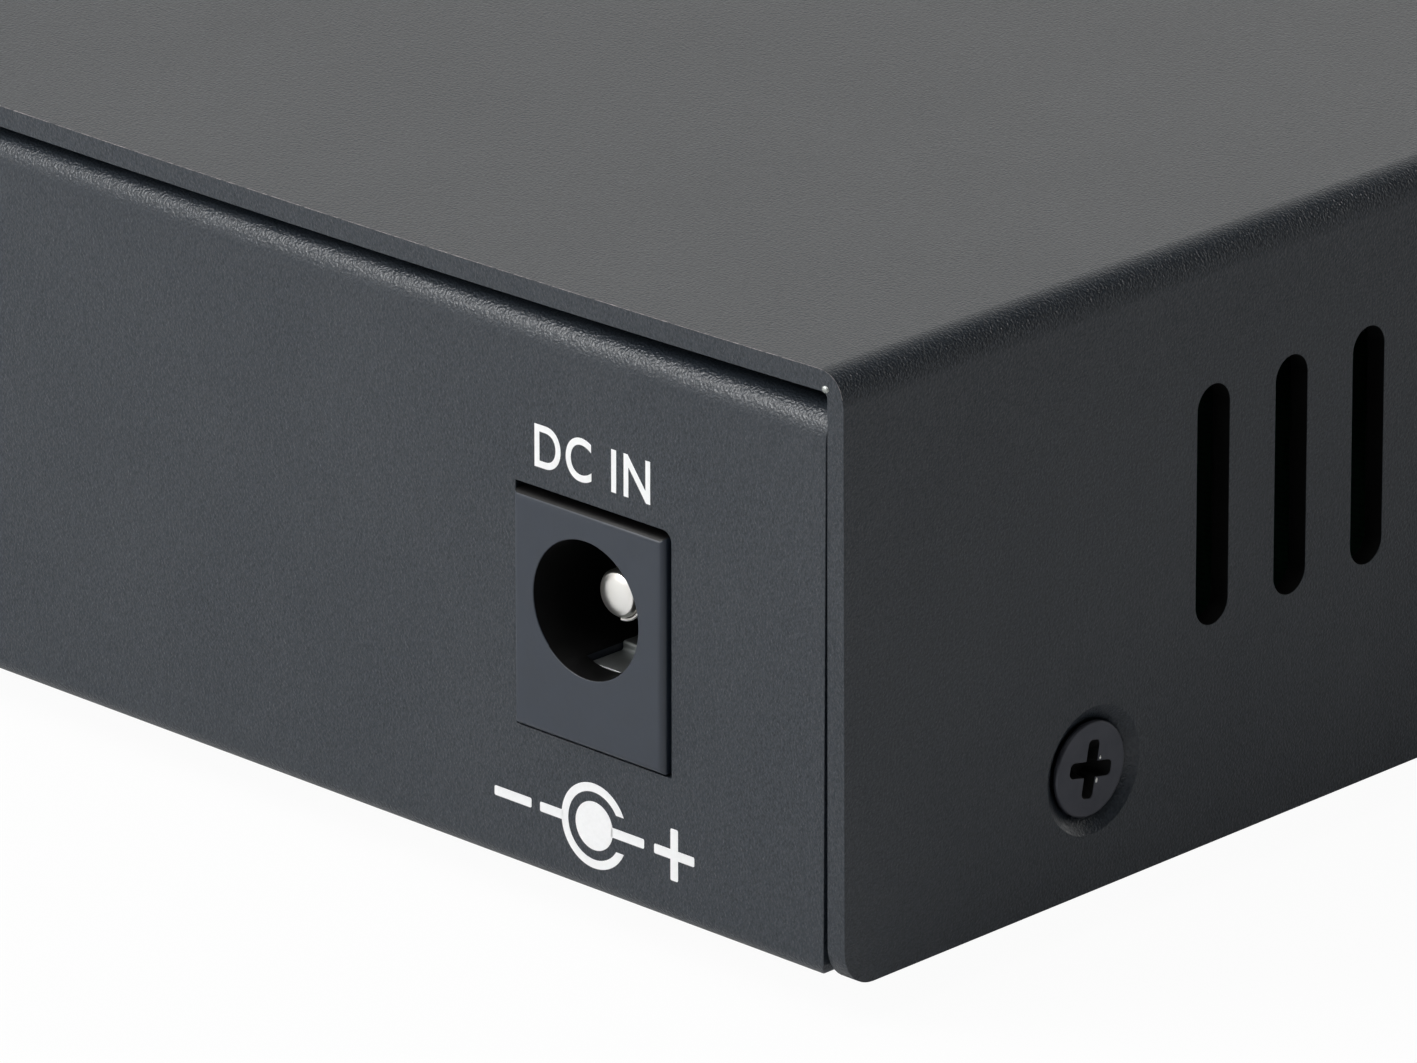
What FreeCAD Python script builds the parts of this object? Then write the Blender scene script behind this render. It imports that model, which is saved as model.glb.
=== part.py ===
import FreeCAD, Part
import math
import os

import Sketcher

# A stand-alone fibre media converter: a folded steel tray with a folded steel cover over it,
# a circuit board on four posts, a power socket at the back, and a network socket, a duplex
# fibre module and six lamps at the front.
#
# Millimetres. X runs across the width, Y from the front (-Y) to the back (+Y), Z up.
# The origin is at the middle of the case, on the surface that the rubber feet stand on.

SIZES = {
    # case
    "case_width": 73.0,  # across the outside of the cover
    "case_depth": 94.5,  # front panel to back panel
    "case_height": 27.85,  # lower edge of the cover to its top, without the feet
    "foot_height": 2.0,
    "foot_radius": 4.0,
    "foot_draft": 0.4,  # how much narrower a foot is at the floor
    "foot_inset": 9.0,  # foot centre from the sides and the ends of the case
    # cover: one sheet, folded down at both sides
    "cover_wall": 1.0,
    "cover_bend": 1.5,  # outside radius of the fold
    "fold_inside": 0.3,  # inside radius of every fold
    "cover_corner": 1.8,  # rounding of the sides' lower corners
    # tray: one sheet, folded up at both ends and both sides
    "tray_wall": 1.0,
    "tray_bend": 1.0,  # outside radius of the folds round the floor
    "panel_bend": 1.45,  # outside radius of the end panels' top folds
    "tray_gap": 0.2,  # between the tray and the cover's sides
    "tray_corner": 0.9,  # rounding of the end panels' lower corners
    "panel_gap": 0.85,  # between the end panels' top folds and the cover
    "panel_flange": 6.0,  # depth of the flanges on top of the end panels
    "side_flange_height": 9.5,
    "relief_width": 1.0,  # notch where a side fold ends
    # ventilation slots in both sides
    "vent_width": 2.1,
    "vent_height": 11.1,
    "vent_pitch": 5.08,
    "vent_count": 10,
    "vent_start": 23.22,  # first slot's middle from the back of the case
    "vent_level": 15.8,  # slots' middle above the case's lower edge
    # countersunk screws that hold the cover to the tray
    "screw_inset": 15.65,  # from the front and the back of the case
    "screw_level": 5.62,  # above the case's lower edge
    "screw_head": 4.4,  # head diameter
    "screw_land": 0.2,  # straight rim of the head
    "screw_sunk": 0.3,  # head's face below the cover's face
    "screw_thread": 2.5,
    "screw_length": 4.6,  # head's face to the tip
    "screw_play": 0.05,  # round the screw, in the cover and in the tray
    "cross_span": 2.7,  # driver's recess in these screws
    "cross_width": 0.6,
    "cross_depth": 1.0,
    "boss_radius": 2.1,  # drawn collar that takes the thread
    "boss_height": 1.0,
    # circuit board and what carries it
    "board_side_gap": 3.3,  # board's sides to the tray's side flanges
    "board_thickness": 1.6,
    "board_end_gap": 0.5,  # board's ends to the panels
    "board_corner": 1.0,
    "post_height": 4.4,
    "post_radius": 2.75,
    "post_shank": 2.1,  # radius of the shank riveted into the tray
    "post_inset": 4.0,  # posts' distance from the board's sides
    "post_left_front": 17.5,  # posts' distances from the board's front edge
    "post_right_front": 44.5,
    "post_left_back": 20.0,  # posts' distances from the board's back edge
    "post_right_back": 7.5,
    "rivet_play": 0.02,
    "board_screw_thread": 3.0,
    "board_screw_length": 5.0,
    "board_screw_head": 5.4,
    "board_screw_head_height": 2.0,
    "board_screw_play": 0.1,
    "board_cross_span": 2.8,
    "board_cross_width": 0.7,
    "board_cross_depth": 1.2,
    "board_cross_turn": 20.0,  # degrees from one screw's recess to the next
    # power socket
    "jack_side": 15.0,  # socket's middle from the case's side
    "jack_width": 9.0,
    "jack_height": 10.85,
    "jack_length": 14.2,
    "jack_collar": 3.4,  # thickness of the full-size front part
    "jack_body_width": 8.6,
    "jack_barrel_drop": 0.4,  # barrel's top below the collar's top
    "jack_rim": 0.35,  # rounding of the face's edge
    "jack_proud": 0.25,  # face beyond the back panel's face
    "jack_level": 6.4,  # bore's middle above the board
    "jack_bore_side": 0.1,  # bore's middle from the socket's, towards the case's middle
    "jack_bore": 6.3,  # diameter
    "jack_bore_depth": 9.8,
    "jack_gap_inner": 0.03,  # cut-out round the socket: towards the case's middle
    "jack_gap_outer": 0.27,  # towards the case's side
    "jack_gap_below": 0.08,
    "jack_gap_above": 0.33,
    "jack_cutout_corner": 0.5,  # rounding of the cut-out's upper corners
    "jack_pin": 2.0,  # diameter
    "jack_pin_sunk": 1.88,  # tip behind the socket's face
    "jack_pin_dome": 0.4,
    "jack_pin_flat": 0.65,  # radius left at the tip
    "jack_pin_root": 1.2,  # radius of the part held in the housing
    "jack_spring_width": 2.6,
    "jack_spring_wall": 0.3,
    "jack_spring_play": 0.1,
    "jack_spring_front": 1.6,  # leaf's end behind the socket's face
    "jack_spring_rise": 0.4,  # crest above the bore's floor
    "jack_spring_crest": 4.0,  # length of the raised stretch
    "tail_width": 2.4,
    "tail_wall": 0.6,
    "tail_below": 1.5,  # tails' ends below the board
    "tail_play": 0.3,
    # network socket
    "net_side": 7.5,  # socket's middle, left of the middle line
    "net_width": 16.0,
    "net_height": 13.4,
    "net_length": 16.0,
    "net_shield": 0.3,
    "net_proud": 0.25,  # face beyond the front panel's face
    "net_port_width": 11.9,
    "net_port_height": 6.9,
    "net_port_depth": 13.0,
    "net_port_top": 11.0,  # above the board
    "net_latch_width": 6.2,
    "net_latch_height": 1.7,
    "net_key_width": 3.4,
    "net_key_height": 0.8,
    "net_lip": 0.3,  # shield's opening beyond the port
    "net_contact_count": 8,
    "net_pitch": 1.016,
    "net_contact": 0.4,  # width and thickness of the contacts
    "net_contact_drop": 2.2,  # how far they hang below the port's top
    "net_contact_start": 2.4,  # from the socket's face
    "net_contact_end": 11.5,
    "net_peg": 1.6,  # radius of the pegs in the board
    "net_peg_side": 6.35,
    "net_peg_inset": 7.6,  # behind the socket's face
    "peg_play": 0.05,
    "cutout_gap": 0.2,  # front panel's cut-outs round the sockets
    # fibre module
    "fibre_side": 16.5,  # module's middle, right of the middle line
    "fibre_width": 25.4,
    "fibre_height": 11.0,
    "fibre_length": 39.6,
    "fibre_nose": 14.5,  # length of the full-width socket part
    "fibre_body_width": 24.0,
    "fibre_body_height": 9.2,
    "fibre_pitch": 12.7,
    "fibre_port_width": 9.1,
    "fibre_port_height": 7.5,
    "fibre_port_depth": 12.0,
    "fibre_port_level": 5.3,  # port's middle above the board
    "fibre_key_width": 3.0,
    "fibre_key_height": 1.0,
    "ferrule_bore": 1.25,  # radius
    "ferrule_radius": 2.2,
    "ferrule_length": 7.0,
    "hook_side": 3.0,  # hooks' inner faces from the port's middle
    "hook_wall": 0.7,
    "hook_height": 3.6,
    "hook_length": 6.4,
    "hook_tip": 0.5,
    "hook_toe": 1.2,
    "fibre_stud": 0.95,  # radius of the two locating studs
    "fibre_stud_pitch": 20.32,
    "fibre_stud_inset": 22.8,  # from the module's back
    "fibre_pin": 0.5,  # width of the square pins
    "fibre_pin_pitch": 2.54,
    "fibre_pin_count": 9,
    "fibre_pin_inset": 2.5,  # from the module's back
    "pin_hole": 0.45,  # radius of the board's holes
    # lamps
    "lamp_first": 28.3,  # first column, left of the middle line
    "lamp_column_count": 3,
    "lamp_pitch": 4.6,
    "lamp_radius": 1.45,
    "lamp_hole": 1.6,
    "lamp_sunk": 0.05,
    "lamp_low": 2.7,  # above the board
    "lamp_high": 7.1,
    "lamp_block_width": 4.4,
    "lamp_block_height": 9.6,
    "lamp_block_depth": 6.0,
    "lamp_block_inset": 0.15,  # block's face behind the board's front edge
    # converter chip
    "chip_x": -6.0,
    "chip_from_front": 49.75,  # from the board's front edge
    "chip_size": 10.0,
    "chip_height": 1.4,
    "chip_lift": 0.1,  # packages' undersides above the board
    "chip_corner": 0.4,
    "chip_mark": 0.6,  # radius of the dimple that marks the first lead
    "chip_mark_inset": 1.6,
    "chip_mark_depth": 0.1,
    "lead_pitch": 0.8,
    "lead_count": 11,  # on each side
    "lead_width": 0.35,
    "lead_wall": 0.15,
    "lead_reach": 1.0,
    "lead_foot": 0.6,
    "lead_rise": 0.4,  # shoulder above the package's underside
    # line transformer
    "coil_x": -7.5,
    "coil_from_front": 25.75,
    "coil_length": 12.7,
    "coil_width": 7.1,
    "coil_height": 5.9,
    "coil_pitch": 1.27,
    "coil_lead_count": 8,
    # crystal
    "crystal_x": 9.5,
    "crystal_from_front": 48.25,
    "crystal_length": 11.0,
    "crystal_width": 4.6,
    "crystal_height": 3.5,
    "crystal_rim": 0.4,
    "crystal_round": 2.0,
    # capacitors, inductor, regulator
    "can_radius": 4.0,
    "can_height": 10.2,
    "can_base": 8.3,
    "can_base_height": 1.6,
    "can_neck": 0.3,  # depth of the groove near the base
    "can_neck_level": 0.9,
    "can_neck_height": 0.6,
    "can_count": 3,
    "can_spacing": 10.0,
    "can_from_jack": 12.2,  # first can's middle from the power socket's
    "can_from_back": 8.75,  # from the board's back edge
    "choke_x": 12.0,
    "choke_from_back": 18.75,
    "choke_size": 10.0,
    "choke_height": 4.8,
    "choke_flange": 1.1,
    "choke_core": 3.4,
    "regulator_x": -9.0,
    "regulator_from_back": 21.25,
    "regulator_width": 6.5,
    "regulator_depth": 6.0,
    "regulator_height": 2.3,
    "regulator_tab": 0.5,
    "regulator_tab_reach": 1.1,
    "regulator_tab_step": 0.5,  # package beyond the tab on each side
    # small surface-mount parts in rows
    "resistor_x": 3.5,
    "resistor_from_front": 52.0,
    "ceramic_x": -23.4,
    "ceramic_from_front": 58.75,
    "small_length": 2.0,
    "small_width": 1.25,
    "small_height": 0.6,
    "small_pitch": 2.4,
    "small_row_gap": 3.4,
    "small_rows": 2,
    "small_row_count": 5,
}


SAME_PLACE = 1e-4  # edges closer than this to a plane lie on it


class Size:
    """A length that carries its number and the spreadsheet formula behind it."""

    def __init__(self, number, formula=None):
        self.number = float(number)
        self.formula = formula or repr(self.number)

    @staticmethod
    def of(value):
        return value if isinstance(value, Size) else Size(value)

    def _with(self, other, sign, number):
        return Size(number, f"({self.formula} {sign} {Size.of(other).formula})")

    def __add__(self, other):
        return self._with(other, "+", self.number + Size.of(other).number)

    def __sub__(self, other):
        return self._with(other, "-", self.number - Size.of(other).number)

    def __mul__(self, other):
        return self._with(other, "*", self.number * Size.of(other).number)

    def __truediv__(self, other):
        return self._with(other, "/", self.number / Size.of(other).number)

    def __neg__(self):
        return Size(-self.number, f"(0 - {self.formula})")

    def __radd__(self, other):
        return Size.of(other) + self

    def __rsub__(self, other):
        return Size.of(other) - self

    def __rmul__(self, other):
        return Size.of(other) * self


class Sizes:
    """The driving dimensions, read by name from the document's spreadsheet."""

    def __init__(self, document, values):
        self.sheet = document.addObject("Spreadsheet::Sheet", "sizes")
        for row, (alias, value) in enumerate(values.items(), start=1):
            self.sheet.set(f"A{row}", alias)
            self.sheet.set(f"B{row}", str(value))
            self.sheet.setAlias(f"B{row}", alias)
        document.recompute()

    def __getattr__(self, alias):
        return Size(getattr(self.sheet, alias), f"sizes.{alias}")


document = FreeCAD.newDocument("fibre_media_converter")
d = Sizes(document, SIZES)
nodes = []


# ---- drawing helpers ----------------------------------------------------------------------

VIEWS = {"top": ("XY_Plane", 1), "front": ("XZ_Plane", -1), "side": ("YZ_Plane", 1)}
X_AXIS = FreeCAD.Vector(1, 0, 0)
TURNS = {
    "X": FreeCAD.Rotation(FreeCAD.Vector(0, 1, 0), 90),
    "Y": FreeCAD.Rotation(X_AXIS, -90),
    "Z": FreeCAD.Rotation(),
}


def bind(thing, path, size):
    thing.setExpression(path, Size.of(size).formula)


def node(thing, label):
    """Marks a finished sub-part: its label names its file."""
    thing.Label = label
    nodes.append(thing)
    return thing


def new_body(name):
    return document.addObject("PartDesign::Body", name)


def origin_feature(body, role):
    return next(f for f in body.Origin.OriginFeatures if f.Role == role)


def sketch_on(body, name, view, level):
    """A sketch seen from the top (X, Y), front (X, Z) or side (Y, Z), at a level on the third axis."""
    plane, sense = VIEWS[view]
    sketch = body.newObject("Sketcher::SketchObject", name)
    sketch.AttachmentSupport = [(origin_feature(body, plane), "")]
    sketch.MapMode = "FlatFace"
    bind(sketch, "AttachmentOffset.Base.z", Size.of(level) * sense)
    return sketch


def dimension(sketch, kind, size, *where):
    """A driving dimension of a sketch, bound to its formula. A zero distance puts the point on the axis."""
    size = Size.of(size)
    if size.number == 0:
        axis = -2 if kind == "DistanceX" else -1
        sketch.addConstraint(Sketcher.Constraint("PointOnObject", *where[2:], axis))
        return
    index = sketch.addConstraint(Sketcher.Constraint(kind, *where, size.number))
    name = f"{kind}{index}"
    sketch.renameConstraint(index, name)
    bind(sketch, f"Constraints.{name}", size)


def place(sketch, geometry, point, x, y):
    dimension(sketch, "DistanceX", x, -1, 1, geometry, point)
    dimension(sketch, "DistanceY", y, -1, 1, geometry, point)


def disc(x, y, radius):
    def draw(sketch):
        centre = FreeCAD.Vector(Size.of(x).number, Size.of(y).number)
        circle = Part.Circle(centre, FreeCAD.Vector(0, 0, 1), Size.of(radius).number)
        index = sketch.addGeometry(circle)
        place(sketch, index, 3, x, y)
        dimension(sketch, "Radius", radius, index)

    return draw


def arc(centre, radius, start, end):
    circle = Part.Circle(centre, FreeCAD.Vector(0, 0, 1), radius)
    return Part.ArcOfCircle(circle, start, end)


def angle_of(vector):
    return math.atan2(vector.y, vector.x)


def outline(*corners):
    """A closed outline of upright and level edges through corners (x, y) or, rounded, (x, y, radius)."""

    def draw(sketch):
        count = len(corners)
        points = [FreeCAD.Vector(Size.of(c[0]).number, Size.of(c[1]).number) for c in corners]
        rounds = [Size.of(c[2]) if len(c) == 3 else None for c in corners]
        along = [(points[(i + 1) % count] - points[i]).normalize() for i in range(count)]
        cut = [r.number if r else 0 for r in rounds]
        first = sketch.GeometryCount
        for i in range(count):
            start = points[i] + along[i] * cut[i]
            end = points[(i + 1) % count] - along[i] * cut[(i + 1) % count]
            sketch.addGeometry(Part.LineSegment(start, end))
        for i in range(count):
            line, before = first + i, first + (i - 1) % count
            if rounds[i] is None:
                sketch.addConstraint(Sketcher.Constraint("Coincident", before, 2, line, 1))
            else:
                round_corner(sketch, points[i], along[i - 1], along[i], rounds[i], before, line)
        for i in range(count):
            if abs(along[i].x) < abs(along[i].y):
                sketch.addConstraint(Sketcher.Constraint("Vertical", first + i))
                dimension(sketch, "DistanceX", corners[i][0], -1, 1, first + i, 1)
            else:
                sketch.addConstraint(Sketcher.Constraint("Horizontal", first + i))
                dimension(sketch, "DistanceY", corners[i][1], -1, 1, first + i, 1)

    return draw


def round_corner(sketch, corner, arriving, leaving, radius, before, line):
    """Joins two lines of an outline by a tangent arc."""
    left_turn = arriving.x * leaving.y - arriving.y * leaving.x > 0
    r = radius.number
    begin, end = corner - arriving * r, corner + leaving * r
    centre = begin + leaving * r
    ends = (begin, end) if left_turn else (end, begin)
    index = sketch.addGeometry(arc(centre, r, *[angle_of(p - centre) for p in ends]))
    start_side, end_side = (1, 2) if left_turn else (2, 1)
    sketch.addConstraint(Sketcher.Constraint("Tangent", before, 2, index, start_side))
    sketch.addConstraint(Sketcher.Constraint("Tangent", index, end_side, line, 1))
    dimension(sketch, "Radius", radius, index)


def rectangle(x_low, x_high, y_low, y_high, radius=None):
    rounding = () if radius is None else (radius,)
    corners = ((x_low, y_low), (x_high, y_low), (x_high, y_high), (x_low, y_high))
    return outline(*[c + rounding for c in corners])


def upright_slot(x, y, width, height):
    """A slot with full round ends, standing upright in the sketch."""

    def draw(sketch):
        middle = FreeCAD.Vector(Size.of(x).number, Size.of(y).number)
        r = width / 2
        rise = (height - width) / 2
        up = FreeCAD.Vector(0, rise.number)
        out = FreeCAD.Vector(r.number, 0)
        first = sketch.GeometryCount
        sketch.addGeometry(arc(middle + up, r.number, 0, math.pi))
        sketch.addGeometry(arc(middle - up, r.number, math.pi, 2 * math.pi))
        sketch.addGeometry(Part.LineSegment(middle + up - out, middle - up - out))
        sketch.addGeometry(Part.LineSegment(middle - up + out, middle + up + out))
        top, bottom, left, right = range(first, first + 4)
        sketch.addConstraint(Sketcher.Constraint("Tangent", top, 2, left, 1))
        sketch.addConstraint(Sketcher.Constraint("Tangent", left, 2, bottom, 1))
        sketch.addConstraint(Sketcher.Constraint("Tangent", bottom, 2, right, 1))
        sketch.addConstraint(Sketcher.Constraint("Tangent", right, 2, top, 1))
        sketch.addConstraint(Sketcher.Constraint("Equal", top, bottom))
        place(sketch, top, 3, x, y + rise)
        place(sketch, bottom, 3, x, y - rise)
        dimension(sketch, "Radius", r, top)

    return draw


def grow(body, name, view, low, high, *shapes):
    """Adds material between two levels along the axis that the view looks along."""
    sketch = sketch_on(body, f"{name}_sketch", view, high if view == "front" else low)
    for draw in shapes:
        draw(sketch)
    pad = body.newObject("PartDesign::Pad", name)
    pad.Profile = sketch
    bind(pad, "Length", Size.of(high) - low)
    return pad


def carve(body, name, view, low, high, *shapes, taper=0):
    """Takes material away between two levels. A taper narrows the cut as it goes down from the high level."""
    sketch = sketch_on(body, f"{name}_sketch", view, low if view == "front" else high)
    for draw in shapes:
        draw(sketch)
    pocket = body.newObject("PartDesign::Pocket", name)
    pocket.Profile = sketch
    pocket.TaperAngle = -taper
    bind(pocket, "Length", Size.of(high) - low)
    return pocket


def repeat(body, name, feature, axis, spacing, count, backwards=False):
    pattern = body.newObject("PartDesign::LinearPattern", name)
    pattern.Originals = [feature]
    pattern.Direction = (origin_feature(body, f"{axis}_Axis"), [""])
    pattern.Reversed = backwards
    pattern.Mode = "Spacing"
    bind(pattern, "Offset", spacing)
    bind(pattern, "Occurrences", count)
    body.Tip = pattern
    return pattern


def mirror(body, name, feature, plane="YZ_Plane"):
    mirrored = body.newObject("PartDesign::Mirrored", name)
    mirrored.Originals = [feature]
    mirrored.MirrorPlane = (origin_feature(body, plane), [""])
    body.Tip = mirrored
    return mirrored


def round_edges(body, name, radius, wanted):
    """Rounds the body's edges for which wanted(edge) is true."""
    document.recompute()
    base = body.Tip
    fillet = body.newObject("PartDesign::Fillet", name)
    edges = [f"Edge{i}" for i, edge in enumerate(base.Shape.Edges, start=1) if wanted(edge)]
    fillet.Base = (base, edges)
    bind(fillet, "Radius", radius)
    return fillet


# ---- solid helpers ------------------------------------------------------------------------


def set_base(thing, x, y, z):
    for axis, size in zip("xyz", (x, y, z)):
        bind(thing, f"Placement.Base.{axis}", size)


def block(name, low, high):
    """A box from its lowest to its highest corner."""
    box = document.addObject("Part::Box", name)
    for side, a, b in zip(("Length", "Width", "Height"), low, high):
        bind(box, side, Size.of(b) - a)
    set_base(box, *low)
    return box


def turned(thing, axis, centre, low):
    """Lays a round solid along an axis, centred on the other two coordinates."""
    thing.Placement = FreeCAD.Placement(FreeCAD.Vector(), TURNS[axis])
    place_on = list(centre)
    place_on.insert("XYZ".index(axis), low)
    set_base(thing, *place_on)
    return thing


def rod(name, axis, centre, low, high, radius):
    cylinder = document.addObject("Part::Cylinder", name)
    bind(cylinder, "Radius", radius)
    bind(cylinder, "Height", Size.of(high) - low)
    return turned(cylinder, axis, centre, low)


def cone(name, axis, centre, low, high, radius_low, radius_high):
    frustum = document.addObject("Part::Cone", name)
    bind(frustum, "Radius1", radius_low)
    bind(frustum, "Radius2", radius_high)
    bind(frustum, "Height", Size.of(high) - low)
    return turned(frustum, axis, centre, low)


def join(name, *pieces):
    fused = document.addObject("Part::MultiFuse", name)
    fused.Shapes = list(pieces)
    fused.Refine = True
    return fused


def cut(name, base, tool):
    difference = document.addObject("Part::Cut", name)
    difference.Base = base
    difference.Tool = tool
    difference.Refine = True
    return difference


def group(name, pieces):
    compound = document.addObject("Part::Compound", name)
    compound.Links = list(pieces)
    return compound


def cross_recess(name, axis, centre, low, high, span, width, turn):
    """Two crossed blades, turned about the screw's axis, to cut a driver's recess with."""
    blades = []
    for i, angle in enumerate((turn, turn + 90)):
        blade = document.addObject("Part::Box", f"{name}_blade{i}")
        bind(blade, "Length", span)
        bind(blade, "Width", width)
        bind(blade, "Height", Size.of(high) - low)
        half = FreeCAD.Vector(Size.of(span).number / 2, Size.of(width).number / 2, 0)
        spin = TURNS[axis] * FreeCAD.Rotation(FreeCAD.Vector(0, 0, 1), angle)
        blade.Placement = FreeCAD.Placement(FreeCAD.Vector(), spin)
        corner = spin.multVec(half)
        place_on = list(centre)
        place_on.insert("XYZ".index(axis), low)
        set_base(blade, *[Size.of(p) - c for p, c in zip(place_on, (corner.x, corner.y, corner.z))])
        blades.append(blade)
    return join(name, *blades)


# ---- levels and lines that several pieces share -------------------------------------------

half_width = d.case_width / 2
board_half = half_width - d.cover_wall - d.tray_gap - d.tray_wall - d.board_side_gap
half_depth = d.case_depth / 2
case_bottom = d.foot_height
case_top = case_bottom + d.case_height
cover_under = case_top - d.cover_wall
tray_half = half_width - d.cover_wall - d.tray_gap
tray_floor = case_bottom + d.tray_wall
panel_top = cover_under - d.panel_gap
board_under = tray_floor + d.post_height
board_top = board_under + d.board_thickness
board_half_depth = half_depth - d.tray_wall - d.board_end_gap
screw_z = case_bottom + d.screw_level
screw_y = half_depth - d.screw_inset
screw_face = half_width - d.screw_sunk
jack_x = d.jack_side - half_width
jack_face = half_depth + d.jack_proud
bore_x = jack_x + d.jack_bore_side
jack_z = board_top + d.jack_level
net_x = -d.net_side
net_face = -half_depth - d.net_proud
net_top = board_top + d.net_height
port_top = board_top + d.net_port_top
port_floor = port_top - d.net_port_height
fibre_x = d.fibre_side
fibre_face = net_face
fibre_port_z = board_top + d.fibre_port_level
fibre_ports = [fibre_x - d.fibre_pitch / 2, fibre_x + d.fibre_pitch / 2]
lamp_columns = [d.lamp_pitch * i - d.lamp_first for i in range(SIZES["lamp_column_count"])]
lamp_levels = [board_top + d.lamp_low, board_top + d.lamp_high]
lamp_block_face = d.lamp_block_inset - board_half_depth


board_front = -board_half_depth
board_back = board_half_depth
chip_y = board_front + d.chip_from_front
coil_y = board_front + d.coil_from_front
crystal_y = board_front + d.crystal_from_front
can_y = board_back - d.can_from_back
choke_y = board_back - d.choke_from_back
regulator_y = board_back - d.regulator_from_back


def post_places():
    """The four board posts, as (x, y)."""
    left, right = d.post_inset - board_half, board_half - d.post_inset
    return [
        (left, board_front + d.post_left_front),
        (right, board_front + d.post_right_front),
        (left, board_back - d.post_left_back),
        (right, board_back - d.post_right_back),
    ]


# ---- case ---------------------------------------------------------------------------------


def make_cover():
    body = new_body("top_cover")
    inside = half_width - d.cover_wall
    grow(
        body,
        "cover_sheet",
        "front",
        -half_depth,
        half_depth,
        outline(
            (-half_width, case_bottom),
            (-inside, case_bottom),
            (-inside, cover_under, d.fold_inside),
            (inside, cover_under, d.fold_inside),
            (inside, case_bottom),
            (half_width, case_bottom),
            (half_width, case_top, d.cover_bend),
            (-half_width, case_top, d.cover_bend),
        ),
    )

    def lower_corner(edge):
        centre = edge.CenterOfMass
        at_end = abs(abs(centre.y) - half_depth.number) < SAME_PLACE
        at_bottom = abs(centre.z - case_bottom.number) < SAME_PLACE
        return at_end and at_bottom and edge.BoundBox.XLength > edge.BoundBox.YLength

    round_edges(body, "lower_corners", d.cover_corner, lower_corner)
    vent = carve(
        body,
        "vent",
        "side",
        -half_width,
        half_width,
        upright_slot(
            half_depth - d.vent_start,
            case_bottom + d.vent_level,
            d.vent_width,
            d.vent_height,
        ),
    )
    repeat(body, "vents", vent, "Y", d.vent_pitch, d.vent_count, backwards=True)
    sink = d.screw_head / 2 + d.screw_sunk + d.screw_land + d.screw_play
    countersinks = carve(
        body,
        "countersinks",
        "side",
        half_width - d.cover_wall,
        half_width,
        disc(screw_y, screw_z, sink),
        disc(-screw_y, screw_z, sink),
        taper=45,
    )
    mirror(body, "countersinks_left", countersinks)
    return node(body, "top_cover")


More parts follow.
